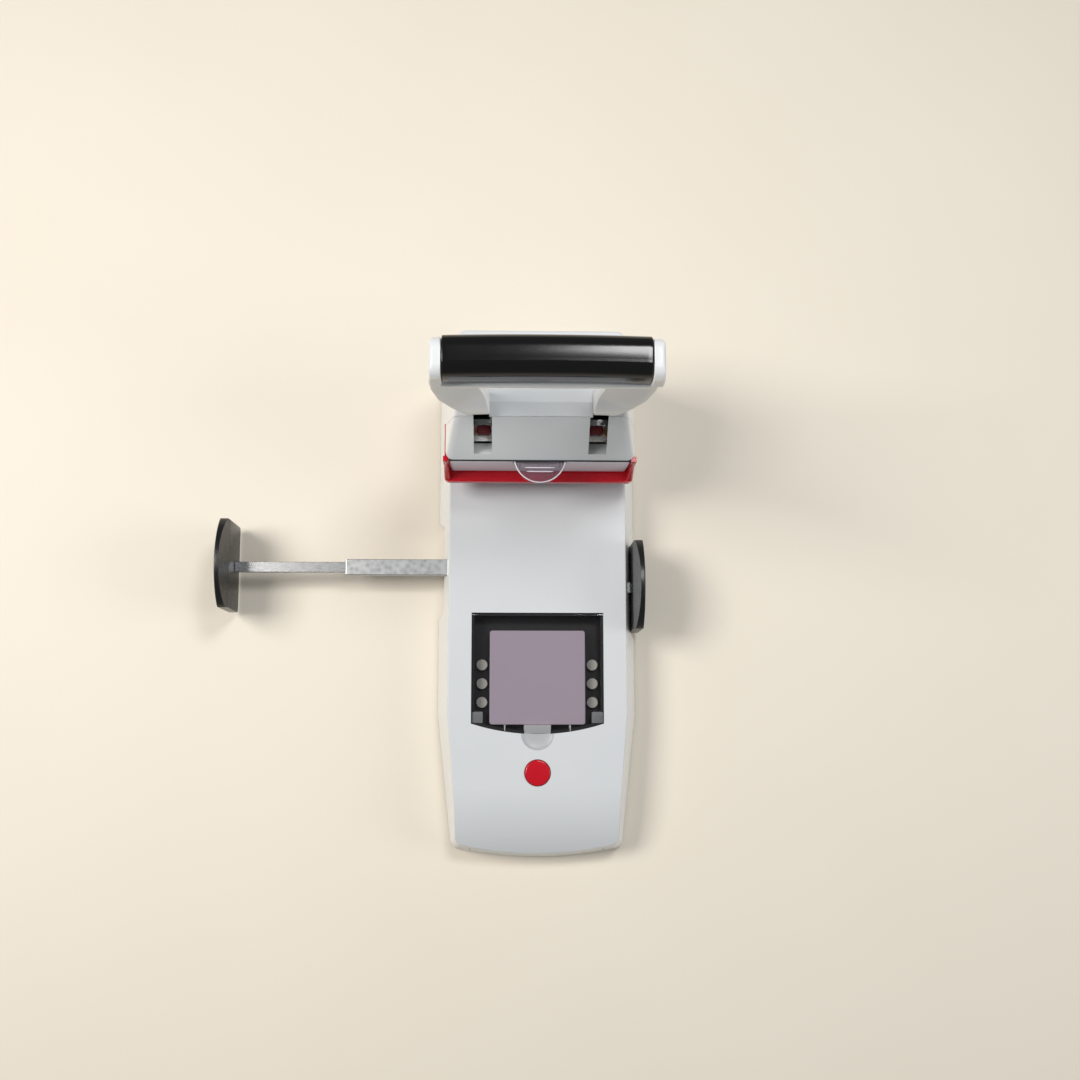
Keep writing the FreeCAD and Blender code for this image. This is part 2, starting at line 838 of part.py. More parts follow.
def cover_block(name, inset, low):
    """Both head covers as one solid with sloping sides and front, set in from the outer faces."""
    body = new_body(name)
    peak = s.cover_peak + 4.0 - inset
    front_inset = inset * 1.25
    front_low = -s.head_front + front_inset - (cover_low - low) * s.cover_slope
    front_high = -s.head_front + front_inset + (peak - cover_low) * s.cover_slope
    lower = rectangle(both(s.cover_half - inset), (front_low, s.head_rear - inset))
    lean = (s.cover_half - s.cover_top_half) / (s.cover_peak - cover_low)
    top_half = s.cover_half - inset - (peak - cover_low) * lean
    upper = rectangle(both(top_half), (front_high, s.head_rear - inset - s.cover_rear_lean))
    loft(body, "XY", (low, lower), (peak, upper))
    above = [
        (-s.head_front, crest_z - inset - (s.crest_y + s.head_front) * s.step_rise / (s.step_y - s.crest_y)),
        (s.step_y, step_z - inset),
        (s.head_rear + s.cut_past, s.cover_peak - inset),
        (s.head_rear + s.cut_past, peak + 2.0),
        (-s.head_front, peak + 2.0),
    ]
    pocket(body, "YZ", both(s.cover_half), above)
    return body


def head_covers():
    outer = cover_block("cover_outer", 0.0, cover_low)
    low_edge = cover_low + s.cut_past
    round_edges(outer, s.cover_corner, lambda edge: is_upright(edge) and edge.BoundBox.ZMin < low_edge)
    round_edges(outer, s.cover_edge, lambda edge: edge.BoundBox.ZMin > crest_z - 3.0)
    inner = cover_block("cover_inner", s.head_wall, cover_low - s.cut_past)
    slots = []
    slot_z = (cover_low + s.cut_past, s.cover_peak + s.cut_margin)
    slot_outer = s.slot_spread + s.slot_half_width
    slot_inner = s.slot_spread - s.slot_half_width
    for side, sign in (("left", -1.0), ("right", 1.0)):
        front_x = side_span(sign, slot_inner, slot_outer)
        slots.append(block(f"slot_front_{side}", front_x, (-s.slot_front, s.crest_y), slot_z))
        rear_x = side_span(sign, s.handle_tip_inner - s.seat_gap, slot_outer)
        slots.append(block(f"slot_rear_{side}", rear_x, (s.crest_y - s.cut_past, s.slot_rear), slot_z))
    shell = cut("cover_shell", outer, inner, *slots)
    reach = s.head_rear + s.cut_margin
    wide = both(s.cover_half + s.cut_margin)
    tall = (cover_low - s.cut_margin, s.cover_peak + s.cut_margin)
    half_split = s.cover_split / 2.0
    front_zone = block("front_zone", wide, (-reach, s.crest_y - half_split), tall)
    rear_zone = block("rear_zone", wide, (s.crest_y + half_split, reach), tall)
    keep(common("head_front_cover_shape", shell, front_zone), "head_front_cover")
    keep(common("head_rear_cover_shape", shell, rear_zone), "head_rear_cover")


def guide_frame_red():
    """The red frame round the guide plate, open at the rear, with a post at each front corner."""
    lip = new_body("guide_frame_lip")
    inner_half = frame_outer + s.seat_gap
    inner_front = s.die_front + s.seat_gap
    rear = s.paper_depth - s.seat_gap

    def ring(half, front):
        return [
            (-half, rear),
            (-half, -front),
            (half, -front),
            (half, rear),
            (inner_half, rear),
            (inner_half, -inner_front),
            (-inner_half, -inner_front),
            (-inner_half, rear),
        ]
    pad(lip, "XY", (guide_low, guide_low + s.frame_lip_height), ring(s.frame_lip_half, s.frame_lip_front))
    round_edges(lip, s.lip_corner, lambda edge: is_upright(edge) and edge.BoundBox.YMax < -s.housing_front)
    rim = new_body("guide_frame_rim")
    rim_low = guide_low + s.frame_lip_height
    pad(rim, "XY", (rim_low, rim_top), ring(s.head_half, s.housing_front))
    pieces = [lip, rim]
    for side, sign in (("left", -1.0), ("right", 1.0)):
        post_x = side_span(sign, s.head_half, s.head_half + s.post_width)
        post_y = (-s.head_front_low, s.post_depth - s.head_front_low)
        pieces.append(block(f"guide_post_{side}", post_x, post_y, (rim_low, s.seam_z)))
    keep(fuse("guide_frame_red_shape", *pieces), "guide_frame_red")


def release_tab():
    body = new_body("release_tab_body")
    top = s.seam_z - s.tab_drop
    tail_y = s.tab_y + s.tab_tail
    half = s.tab_radius - s.seat_gap
    disc = rod("tab_disc", half, "z", (top - s.tab_thickness, top), 0.0, s.tab_y)
    front_z = (top - s.cut_margin, top + s.cut_margin)
    front = block("tab_front_zone", both(half * 2.0), (s.tab_y - 2.0 * half, s.tab_y), front_z)
    outline = rectangle(both(half), (s.tab_y, tail_y))
    pad(body, "XY", (top - s.tab_thickness, top), outline)
    keep(fuse("release_tab_shape", body, common("tab_half_disc", disc, front)), "release_tab")


# Punch carriage

def crosshead():
    ends = block("beam_ends", both(s.beam_half), (-s.beam_front, s.beam_rear), (s.beam_low, beam_end_top))
    middle = both(s.beam_middle_half)
    dip_y = (-s.beam_front - s.cut_past, s.beam_rear + s.cut_past)
    dip = block("beam_dip", middle, dip_y, (beam_top, beam_end_top + s.cut_past))
    bore_z = (s.beam_low - s.cut_past, beam_end_top + s.cut_past)
    tools = [dip]
    ears = []
    half_fork = s.fork_thickness / 2.0 + s.ear_gap
    notch_y = (s.pin_y + s.pin_radius - s.cut_past, s.beam_rear + s.cut_past)
    ear_reach = s.pin_radius + s.ear_wall
    ear_top = s.pin_z + ear_reach
    ear_y = (s.pin_y - ear_reach, s.pin_y + ear_reach)
    ear_low = ear_y[0] if ear_y[0] > -s.beam_front else -s.beam_front
    for side, x in zip(("left", "right"), both(s.fork_spread)):
        gap_x = (x - half_fork, x + half_fork)
        tools.append(block(f"fork_notch_{side}", gap_x, notch_y, (s.beam_low - s.cut_past, beam_end_top)))
        ears_x = (x - half_fork - s.ear_thickness, x + half_fork + s.ear_thickness)
        tools.append(rod(f"fork_pin_bore_{side}", s.pin_radius, "x", ears_x, s.pin_y, s.pin_z))
        for name, low in (("inner", x - half_fork - s.ear_thickness), ("outer", x + half_fork)):
            ears.append(block(f"ear_{side}_{name}", (low, low + s.ear_thickness), (ear_low, ear_y[1]),
                              (s.beam_low, ear_top)))
        tools.append(rod(f"punch_bore_{side}", s.punch_radius, "z", bore_z,
                         math.copysign(1.0, x) * s.punch_spread, 0.0))
        tools.append(rod(f"bush_bore_{side}", s.column_radius + s.running_gap + s.bush_wall, "z",
                         (s.beam_low - s.cut_past, beam_end_top + s.cut_past),
                         math.copysign(1.0, x) * s.column_spread, s.column_y))
    dipped = cut("beam_dipped", ends, dip)
    solid = fuse("beam_with_ears", dipped, *ears)
    keep(cut("crosshead_cut", solid, *tools[1:]), "crosshead")


def guide_bushes():
    bushes = []
    for side, x in zip(("left", "right"), both(s.column_spread)):
        bore = s.column_radius + s.running_gap
        body = new_body(f"guide_bush_{side}")
        ring = [(x, s.column_y, bore + s.bush_wall), (x, s.column_y, bore)]
        pad(body, "XY", (s.beam_low, beam_end_top), *ring)
        bushes.append(body)
    keep(group("guide_bushes_group", *bushes), "guide_bushes")


def punches():
    for side, x in zip(("left", "right"), both(s.punch_spread)):
        shank = rod(f"punch_shank_{side}", s.punch_radius, "z", (guide_low + 0.5, beam_end_top), x, 0.0)
        keep(shank, f"punch_{side}")
        body = new_body(f"punch_cap_{side}_body")
        pad(body, "XY", (beam_end_top, beam_end_top + s.cap_height), (x, 0.0, s.cap_radius))
        round_edges(body, s.cap_height / 4.0, lambda edge: edge.BoundBox.ZMin > beam_end_top + s.cut_past)
        keep(body, f"punch_cap_{side}")


def fork_pins():
    pins = []
    reach = s.fork_thickness / 2.0 + s.ear_gap + s.ear_thickness
    for side, x in zip(("left", "right"), both(s.fork_spread)):
        pins.append(rod(f"fork_pin_{side}", s.pin_radius, "x", (x - reach, x + reach), s.pin_y, s.pin_z))
    keep(group("fork_pins_group", *pins), "fork_pins")


# Lever and handle

def lever_hub():
    body = new_body("lever_hub_body")
    ring = [(s.pivot_y, s.pivot_z, s.hub_radius), (s.pivot_y, s.pivot_z, s.shaft_radius + s.running_gap)]
    pad(body, "YZ", both(s.hub_half), *ring)
    keep(body, "lever_hub")


def turned_point(angle, along, across):
    """A point measured along and across a line that leaves the pivot, angle degrees above the front."""
    y = s.pivot_y - along * cosine(angle) - across * sine(angle)
    z = s.pivot_z + along * sine(angle) - across * cosine(angle)
    return (y, z)


def forks():
    angle = angle_of(s.pin_z - s.pivot_z, s.pivot_y - s.pin_y)
    hub_bore = (s.pivot_y, s.pivot_z, s.hub_radius)
    half = s.fork_half_width
    slot = s.pin_radius + s.fork_slack / 2.0
    reach = s.pivot_y - s.pin_y
    slot_start = reach - s.pin_radius - s.cut_past
    for side, x in zip(("left", "right"), both(s.fork_spread)):
        span = (x - s.fork_thickness / 2.0, x + s.fork_thickness / 2.0)
        body = new_body(f"fork_{side}_body")
        outline = [turned_point(angle, 0.0, half), turned_point(angle, s.fork_reach, half),
                   turned_point(angle, s.fork_reach, slot), turned_point(angle, slot_start, slot),
                   turned_point(angle, slot_start, -slot), turned_point(angle, s.fork_reach, -slot),
                   turned_point(angle, s.fork_reach, -half), turned_point(angle, 0.0, -half)]
        pad(body, "YZ", span, outline)
        boss = rod(f"fork_boss_{side}", s.hub_radius + s.boss_wall, "x", span, s.pivot_y, s.pivot_z)
        bore = rod(f"fork_bore_{side}", s.hub_radius, "x", span, *hub_bore[:2])
        keep(cut(f"fork_{side}_cut", fuse(f"fork_{side}_solid", body, boss), bore), f"fork_{side}")


def arm_plate(name, x_span, half_width, length, margin=0.0):
    body = new_body(name)
    angle = 90.0 - s.arm_lean
    outline = [turned_point(angle, 0.0, half_width), turned_point(angle, length, half_width + margin),
               turned_point(angle, length, -half_width - margin), turned_point(angle, 0.0, -half_width)]
    pad(body, "YZ", x_span, outline)
    return body


def lever_arms():
    for side, sign in (("left", -1.0), ("right", 1.0)):
        half = s.arm_thickness / 2.0
        span = side_span(sign, s.arm_spread - half, s.arm_spread + half)
        plate = arm_plate(f"arm_plate_{side}", span, s.arm_half_width, s.arm_length)
        boss = rod(f"arm_boss_{side}", s.hub_radius + s.boss_wall, "x", span, s.pivot_y, s.pivot_z)
        bore = rod(f"arm_bore_{side}", s.hub_radius, "x", span, s.pivot_y, s.pivot_z)
        screw = handle_screw(f"arm_screw_bore_{side}", sign)
        solid = fuse(f"arm_solid_{side}", plate, boss)
        keep(cut(f"lever_arm_{side}_cut", solid, bore, screw), f"lever_arm_{side}")


def handle_screw(name, sign):
    """The screw that ties a handle leg to its steel arm, along X near the arm's end."""
    y, z = turned_point(90.0 - s.arm_lean, s.arm_length - s.handle_screw_inset, 0.0)
    half = s.arm_thickness / 2.0
    screw_x = side_span(sign, s.arm_spread - half, s.handle_flare_outer)
    return rod(name, s.handle_screw_radius, "x", screw_x, y, z)


def handle_screws():
    screws = [handle_screw("handle_screw_left", -1.0), handle_screw("handle_screw_right", 1.0)]
    keep(group("handle_screws_group", *screws), "handle_screws")


def handle_leg(side, sign):
    """One leg of the handle: its front view and its side view, intersected."""
    grip_top = s.grip_z + s.grip_height / 2.0
    front_view = [
        (sign * s.handle_tip_inner, s.handle_tip_z),
        (sign * s.handle_tip_outer, s.handle_tip_z),
        (sign * s.handle_flare_outer, s.handle_flare_z),
        (sign * s.handle_waist, s.handle_waist_z),
        (sign * s.handle_half, s.handle_full_z),
        (sign * s.handle_half, grip_top),
        (sign * s.grip_half, grip_top),
        (sign * s.grip_half, s.grip_z - s.grip_height / 2.0),
        (sign * s.handle_inner, s.grip_z - s.grip_height / 2.0),
        (sign * s.handle_inner, s.handle_waist_z),
    ]
    grip_rear = s.grip_y + s.grip_depth / 2.0
    grip_front = s.grip_y - s.grip_depth / 2.0
    side_view = [
        (s.handle_front_tip, s.handle_tip_z),
        (s.handle_rear_tip, s.handle_tip_z),
        (s.handle_rear, s.handle_full_z),
        (grip_rear, s.grip_z),
        (grip_rear, grip_top - s.grip_round, s.grip_round),
        (grip_rear - s.grip_round, grip_top),
        (grip_front + s.grip_round, grip_top, s.grip_round),
        (grip_front, grip_top - s.grip_round),
        (grip_front, s.grip_z - s.grip_height / 4.0),
        (s.handle_front, s.grip_z - s.grip_height),
        (s.handle_front, s.handle_full_z),
        (s.handle_front - s.cut_past, s.handle_waist_z),
    ]
    front = new_body(f"leg_front_view_{side}")
    pad(front, "XZ", (grip_front - s.cut_past, grip_rear + s.grip_round), front_view)
    profile = new_body(f"leg_side_view_{side}")
    leg_x = side_span(sign, s.handle_tip_inner - s.cut_past, s.handle_half + s.cut_past)
    pad(profile, "YZ", leg_x, side_view)
    dish = new_body(f"leg_dish_{side}")
    dish_plan = [
        (sign * (s.handle_half - s.handle_rim), s.handle_front - s.seat_gap),
        (sign * (s.handle_inner - s.cut_past), s.handle_front - s.seat_gap),
        (sign * (s.handle_inner - s.cut_past), s.handle_dish),
    ]
    pad(dish, "XY", (s.handle_waist_z, s.grip_z - s.grip_height / 2.0), dish_plan)
    return cut(f"handle_leg_{side}", common(f"handle_leg_{side}_solid", front, profile), dish)


def handle_shell():
    """Two legs joined by a bar that runs through the grip, with pockets for the steel arms."""
    core_y = (s.grip_y - s.core_depth / 2.0, s.grip_y + s.core_depth / 2.0)
    core_z = (s.grip_z - s.core_height / 2.0, s.grip_z + s.core_height / 2.0)
    core = block("handle_core", both(s.grip_half), core_y, core_z)
    grip_rear = s.grip_y + s.grip_depth / 2.0
    under = s.grip_z - s.grip_height / 2.0
    lip = block("handle_back_bar", both(s.grip_half), (s.grip_y, grip_rear), (under - s.bar_thickness, under))
    tools = []
    for side, sign in (("left", -1.0), ("right", 1.0)):
        half = s.arm_thickness / 2.0
        span = side_span(sign, s.arm_spread - half, s.arm_spread + half)
        tools.append(arm_plate(f"arm_pocket_{side}", span, s.arm_half_width, s.arm_length))
        tools.append(handle_screw(f"handle_screw_bore_{side}", sign))
    solid = fuse("handle_solid", handle_leg("left", -1.0), handle_leg("right", 1.0), core, lip)
    keep(cut("handle_shell_cut", solid, *tools), "handle_shell")


def grip_half(label, sign):
    """One half of the grip, parted along the crease, with a channel for the core bar."""
    body = new_body(f"{label}_body")
    edge = s.grip_y + sign * s.grip_depth / 2.0
    rounded = s.grip_y + sign * (s.grip_depth / 2.0 - s.grip_round)
    core = s.grip_y + sign * s.core_depth / 2.0
    high = s.grip_z + s.grip_height / 2.0
    low = s.grip_z - s.grip_height / 2.0
    arc = sign * s.grip_round
    outline = [
        (s.grip_y, low),
        (rounded, low, arc),
        (edge, low + s.grip_round),
        (edge, high - s.grip_round, arc),
        (rounded, high),
        (s.grip_y, high),
        (s.grip_y, s.grip_z + s.core_height / 2.0),
        (core, s.grip_z + s.core_height / 2.0),
        (core, s.grip_z - s.core_height / 2.0),
        (s.grip_y, s.grip_z - s.core_height / 2.0),
    ]
    pad(body, "YZ", both(s.grip_half), outline)
    keep(body, label)


# Storage compartment

def lid_outline(inset):
    """The lid seen from above: straight sides and rear, and a bowed front edge."""
    half = s.lid_half - inset
    return [
        (-half, -s.lid_rear - inset),
        (-half, -s.lid_side_reach + inset, s.lid_bulge_radius),
        (half, -s.lid_side_reach + inset),
        (half, -s.lid_rear - inset),
    ]


hinge_y = -s.lid_rear - s.hinge_radius - s.seat_gap
hinge_z = s.table_top - s.hinge_radius
lid_end = s.lid_half - s.hinge_end_gap


def hinge_pin_rod(name, sign):
    x = side_span(sign, lid_end - s.hinge_pin_length / 2.0, s.lid_half + s.hinge_pin_length / 2.0)
    return rod(name, s.hinge_pin_radius, "x", x, hinge_y, hinge_z)


def lid_hinge_pins():
    pins = [hinge_pin_rod("hinge_pin_left", -1.0), hinge_pin_rod("hinge_pin_right", 1.0)]
    keep(group("lid_hinge_pins_group", *pins), "lid_hinge_pins")


def storage_lid():
    plate = new_body("lid_plate")
    inset = s.seat_gap
    low = s.table_top - s.lid_thickness
    half = s.lid_half - inset
    rear = hinge_y - s.hinge_radius / 2.0
    outline = [
        (-half, rear),
        (-half, -s.lid_side_reach + inset, s.lid_bulge_radius),
        (half, -s.lid_side_reach + inset),
        (half, rear),
    ]
    pad(plate, "XY", (low, s.table_top), outline)
    barrel = rod("lid_barrel", s.hinge_radius, "x", both(lid_end), hinge_y, hinge_z)
    bores = []
    for side, sign in (("left", -1.0), ("right", 1.0)):
        x = side_span(sign, lid_end - s.hinge_pin_length / 2.0 - s.seat_gap, s.lid_half)
        bores.append(rod(f"lid_bore_{side}", s.hinge_pin_radius + s.running_gap, "x", x, hinge_y, hinge_z))
    keep(cut("storage_lid_cut", fuse("lid_solid", plate, barrel), *bores), "storage_lid")


def storage_tray():
    body = new_body("storage_tray_body")
    pad(body, "XY", (s.tray_floor_z, top_under), lid_outline(-s.tray_ledge))
    floor_top = s.tray_floor_z + s.tray_floor
    pocket(body, "XY", (floor_top, top_under), lid_outline(s.tray_ledge))
    keep(body, "storage_tray")


def storage_case():
    body = new_body("storage_case_body")
    floor_top = s.tray_floor_z + s.tray_floor
    front = -s.lid_side_reach - s.case_beyond_lid
    outline = rectangle(both(s.case_half), (front, front + case_length))
    pad(body, "XY", (floor_top, floor_top + s.case_height), outline)
    round_edges(body, s.disc_radius / 2.0, is_upright)
    keep(body, "storage_case")


def spare_discs():
    discs = []
    floor_top = s.tray_floor_z + s.tray_floor
    x = (s.case_half + s.lid_half - s.tray_ledge) / 2.0
    first_y = -s.lid_side_reach + 2.0 * s.disc_radius + s.tray_ledge + s.disc_setback
    for side, sign in (("left", -1.0), ("right", 1.0)):
        for number in range(3):
            y = first_y + number * s.disc_pitch
            span = (floor_top, floor_top + s.disc_height)
            discs.append(rod(f"spare_disc_{side}_{number}", s.disc_radius, "z", span, sign * x, y))
    keep(group("spare_discs_group", *discs), "spare_discs")


# Button

def red_button():
    body = new_body("red_button_body")
    flange_top = top_under - s.seat_gap
    flange_low = flange_top - s.button_flange_height
    place = (0.0, -button_reach)
    pad(body, "XY", (flange_low, flange_top), (*place, s.button_radius + s.button_flange))
    pad(body, "XY", (flange_low, s.table_top + s.button_rise), (*place, s.button_radius))
    round_edges(body, s.button_round, lambda edge: edge.BoundBox.ZMin > s.table_top)
    keep(body, "red_button")


def button_cup():
    body = new_body("button_cup_body")
    inner = s.button_radius + s.button_flange + 2.0 * s.seat_gap
    place = (0.0, -button_reach)
    pad(body, "XY", (s.cup_low, top_under), (*place, inner + s.cup_wall))
    pocket(body, "XY", (s.cup_low + s.cup_wall, top_under), (*place, inner))
    keep(body, "button_cup")


def button_spring():
    low = s.cup_low + s.cup_wall
    high = top_under - s.seat_gap - s.button_flange_height
    wire = s.spring_wire * 0.6
    inner = s.button_spring_radius - wire
    place = (0.0, -button_reach, low)
    keep(coil("button_spring_body", turns["z"], place, inner, wire, high - low), "button_spring")


# Chip drawer

def chip_drawer():
    long_box = block("drawer_long", both(s.drawer_half), (-corner_reach - s.roll_radius / 4.0, s.drawer_rear),
                     (drawer_low, drawer_top))
    limit = base_block("drawer_limit", 0.0, 0.0, s.ground_gap)
    shaped = common("drawer_shaped", long_box, limit)
    wall = s.drawer_wall
    hollow_y = (-corner_reach + s.drawer_front_wall, s.drawer_rear - wall)
    hollow_z = (drawer_low + wall, drawer_top + s.cut_past)
    hollow = block("drawer_hollow", both(s.drawer_half - wall), hollow_y, hollow_z)
    keep(cut("chip_drawer_cut", shaped, hollow), "chip_drawer")


# Side stops

def side_stop(side, sign, reach, shift):
    """A stop plate on a two-stage rail, drawn out of the base by shift per stage."""
    rail_y = (-reach - s.rail_width / 2.0, -reach + s.rail_width / 2.0)
    rail_z = (s.rail_z - s.rail_height / 2.0, s.rail_z + s.rail_height / 2.0)
    gap = s.seat_gap
    bar_y = (-reach - s.bar_width / 2.0, -reach + s.bar_width / 2.0)
    bar_z = (s.rail_z - s.bar_height / 2.0, s.rail_z + s.bar_height / 2.0)

    guide_x = side_span(sign, base_top_half - s.base_wall - s.guide_length, base_top_half - s.base_wall)
    guide_y = (rail_y[0] - gap - s.guide_wall, rail_y[1] + gap + s.guide_wall)
    guide = block(f"rail_guide_{side}_block", guide_x, guide_y, (rail_z[0] - gap - s.guide_wall, top_under))
    passage = block(f"rail_passage_{side}", side_span(sign, 0.0, s.base_foot_half),
                    (rail_y[0] - gap, rail_y[1] + gap), (rail_z[0] - gap, rail_z[1] + gap))
    keep(cut(f"rail_guide_{side}_cut", guide, passage), f"rail_guide_{side}")

    outer_end = rail_end + shift
    outer_x = side_span(sign, outer_end - s.rail_length, outer_end)
    outer = block(f"outer_rail_{side}_block", outer_x, rail_y, rail_z)
    bore_x = side_span(sign, outer_end - s.rail_length - s.cut_past, outer_end + s.cut_past)
    bore = block(f"outer_rail_bore_{side}", bore_x, (bar_y[0] - gap, bar_y[1] + gap),
                 (bar_z[0] - gap, bar_z[1] + gap))
    keep(cut(f"stop_rail_outer_{side}_cut", outer, bore), f"stop_rail_outer_{side}")

    plate_near = dock_face + gap + 2.0 * shift
    bar_x = side_span(sign, plate_near - s.bar_length, plate_near)
    keep(block(f"stop_rail_inner_{side}_block", bar_x, bar_y, bar_z), f"stop_rail_inner_{side}")

    plate = new_body(f"stop_plate_{side}_body")
    half = s.stop_length / 2.0
    outline = [
        (-reach - half, s.stop_low),
        (-reach + half, s.stop_low),
        (-reach + half, s.stop_end_height, s.stop_arch_radius),
        (-reach - half, s.stop_end_height),
    ]
    pad(plate, "YZ", side_span(sign, plate_near, plate_near + s.stop_thickness), outline)
    round_edges(plate, s.stop_thickness / 10.0, lambda edge: edge.BoundBox.XLength < 0.01, "Chamfer")
    keep(plate, f"stop_plate_{side}")


def build():
    feet()
    base_plate()
    base_shell()
    for side, sign in (("left", -1.0), ("right", 1.0)):
        side_frame(side, sign)
    frame_ties()
    frame_screws()
    die_plate()
    die_bushes()
    paper_back_stop()
    punch_guide_plate()
    guide_columns()
    pivot_shaft()
    shaft_rings()
    return_springs()
    head_lower_housing()
    head_seam_gasket()
    head_covers()
    guide_frame_red()
    release_tab()
    crosshead()
    guide_bushes()
    punches()
    fork_pins()
    lever_hub()
    forks()
    lever_arms()
    handle_screws()
    handle_shell()
    grip_half("grip_front", -1.0)
    grip_half("grip_rear", 1.0)
    lid_hinge_pins()
    storage_lid()
    storage_tray()
    storage_case()
    spare_discs()
    red_button()
    button_cup()
    button_spring()
    chip_drawer()
    for (side, sign, reach), shift in zip(stop_sides, (s.stage_travel, 0.0)):
        side_stop(side, sign, reach, shift)


def check_and_export():
    doc.recompute()
    failed = [item.Name for item in doc.Objects if {"Invalid", "Error"} & set(item.State)]
    if failed:
        raise RuntimeError("failed objects: " + ", ".join(failed))
    for item in sub_parts:
        if item.Shape.isNull() or not item.Shape.isValid():
            raise RuntimeError("bad shape: " + item.Label)
    os.makedirs("parts", exist_ok=True)
    for item in sub_parts:
        item.Shape.exportStep(f"parts/{item.Label}.step")
        print(f"{item.Label}: {len(item.Shape.Solids)} solid(s), {item.Shape.Volume / 1000:.2f} cm3")


build()
check_and_export()
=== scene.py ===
import math

import bmesh
import bpy
import numpy as np
from mathutils import Matrix, Vector


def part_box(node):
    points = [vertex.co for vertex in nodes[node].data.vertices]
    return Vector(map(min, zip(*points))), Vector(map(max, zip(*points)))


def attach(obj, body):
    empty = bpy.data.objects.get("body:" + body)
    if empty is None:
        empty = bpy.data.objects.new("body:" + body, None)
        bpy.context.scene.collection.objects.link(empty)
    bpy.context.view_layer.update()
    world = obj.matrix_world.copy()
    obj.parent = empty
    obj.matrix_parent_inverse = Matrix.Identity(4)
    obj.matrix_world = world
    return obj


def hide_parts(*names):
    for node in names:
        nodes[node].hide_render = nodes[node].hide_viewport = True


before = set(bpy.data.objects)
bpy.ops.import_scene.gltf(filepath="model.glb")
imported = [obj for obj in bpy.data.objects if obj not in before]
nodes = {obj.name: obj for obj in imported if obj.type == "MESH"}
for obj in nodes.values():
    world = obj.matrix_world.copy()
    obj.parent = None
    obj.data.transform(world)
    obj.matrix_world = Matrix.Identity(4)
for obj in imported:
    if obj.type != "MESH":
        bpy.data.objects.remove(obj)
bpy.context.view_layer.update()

print("frame loaded:", len(nodes), "nodes")


# Colours and nodes

def linear(hexText):
    # sRGB to linear: c / 12.92 for small c, otherwise ((c + 0.055) / 1.055) to the power 2.4
    c = np.array([int(hexText[i:i + 2], 16) for i in (1, 3, 5)]) / 255.0
    return (*np.where(c <= 0.04045, c / 12.92, ((c + 0.055) / 1.055) ** 2.4).tolist(), 1.0)


def perMetre(millimetres):
    return 1000.0 / millimetres


def addNode(material, kind, values=None, links=None, **settings):
    node = material.node_tree.nodes.new(kind)
    for name, value in settings.items():
        setattr(node, name, value)
    for name, value in (values or {}).items():
        node.inputs[name].default_value = value
    for name, source in (links or {}).items():
        material.node_tree.links.new(source, node.inputs[name])
    return node


def startMaterial(name, **shaderValues):
    material = bpy.data.materials.new(name)
    material.use_nodes = True
    shader = material.node_tree.nodes["Principled BSDF"]
    for socket, value in shaderValues.items():
        shader.inputs[socket.replace("_", " ")].default_value = value
    place = addNode(material, "ShaderNodeTexCoord").outputs["Object"]
    return material, shader, place


def joinTo(material, source, shader, socket):
    material.node_tree.links.new(source, shader.inputs[socket])


def noise(material, place, sizeMm, detail, **values):
    node = addNode(material, "ShaderNodeTexNoise", {"Scale": perMetre(sizeMm), "Detail": detail, **values},
                   {"Vector": place})
    return node.outputs["Fac"]


def stretched(material, place, scale):
    return addNode(material, "ShaderNodeMapping", {"Scale": scale}, {"Vector": place}).outputs["Vector"]


def cellDistance(material, place, sizeMm):
    node = addNode(material, "ShaderNodeTexVoronoi", {"Scale": perMetre(sizeMm)}, {"Vector": place})
    return node.outputs["Distance"]


def twoTones(material, shade, colour, factor):
    # shade where the factor is 0, colour where it is 1
    node = addNode(material, "ShaderNodeMix", {6: linear(shade), 7: linear(colour)}, {0: factor},
                   data_type="RGBA")
    return node.outputs[2]


def joinGloss(material, shader, pattern, low, high, patternLow=0.0, patternHigh=1.0):
    # roughness runs from low to high as the pattern runs over its own range
    node = addNode(material, "ShaderNodeMapRange",
                   {"From Min": patternLow, "From Max": patternHigh, "To Min": low, "To Max": high},
                   {"Value": pattern})
    joinTo(material, node.outputs["Result"], shader, "Roughness")


def joinBump(material, shader, height, strength, depth):
    node = addNode(material, "ShaderNodeBump", {"Strength": strength, "Distance": depth}, {"Height": height})
    joinTo(material, node.outputs["Normal"], shader, "Normal")


# Finishes

def mouldedPlastic(name, look):
    # injection moulded plastic: a fine eroded texture, faint shade drift and slightly uneven gloss
    material, shader, place = startMaterial(name, IOR=look.get("ior", 1.53), Metallic=0.0,
                                            Specular_IOR_Level=look.get("specular", 0.5))
    drift = noise(material, place, look["driftMm"], detail=2.0)
    colour = twoTones(material, look["shade"], look["colour"], drift)
    if "wall" in look:
        # faces that look up carry the grey; the side walls below them are painted whiter by the way they
        # face, a painted side light and sheen
        normal = addNode(material, "ShaderNodeTexCoord").outputs["Normal"]
        facing = addNode(material, "ShaderNodeSeparateXYZ", None, {"Vector": normal})
        upward = addNode(material, "ShaderNodeMapRange",
                         {"From Min": look["wallFrom"], "From Max": look["wallTo"]},
                         {"Value": facing.outputs["Z"]}, interpolation_type="SMOOTHSTEP")
        colour = addNode(material, "ShaderNodeMix", {6: linear(look["wall"])},
                         {0: upward.outputs["Result"], 7: colour}, data_type="RGBA").outputs[2]
    joinTo(material, colour, shader, "Base Color")
    scuffs = noise(material, place, look["scuffMm"], detail=5.0, Roughness=0.65)
    joinGloss(material, shader, scuffs, look["roughness"] - look["roughSpread"],
              look["roughness"] + look["roughSpread"], patternLow=0.3, patternHigh=0.7)
    grain = noise(material, place, look["grainMm"], detail=3.0)
    joinBump(material, shader, grain, look["grainStrength"], look["grainDepth"])
    return material


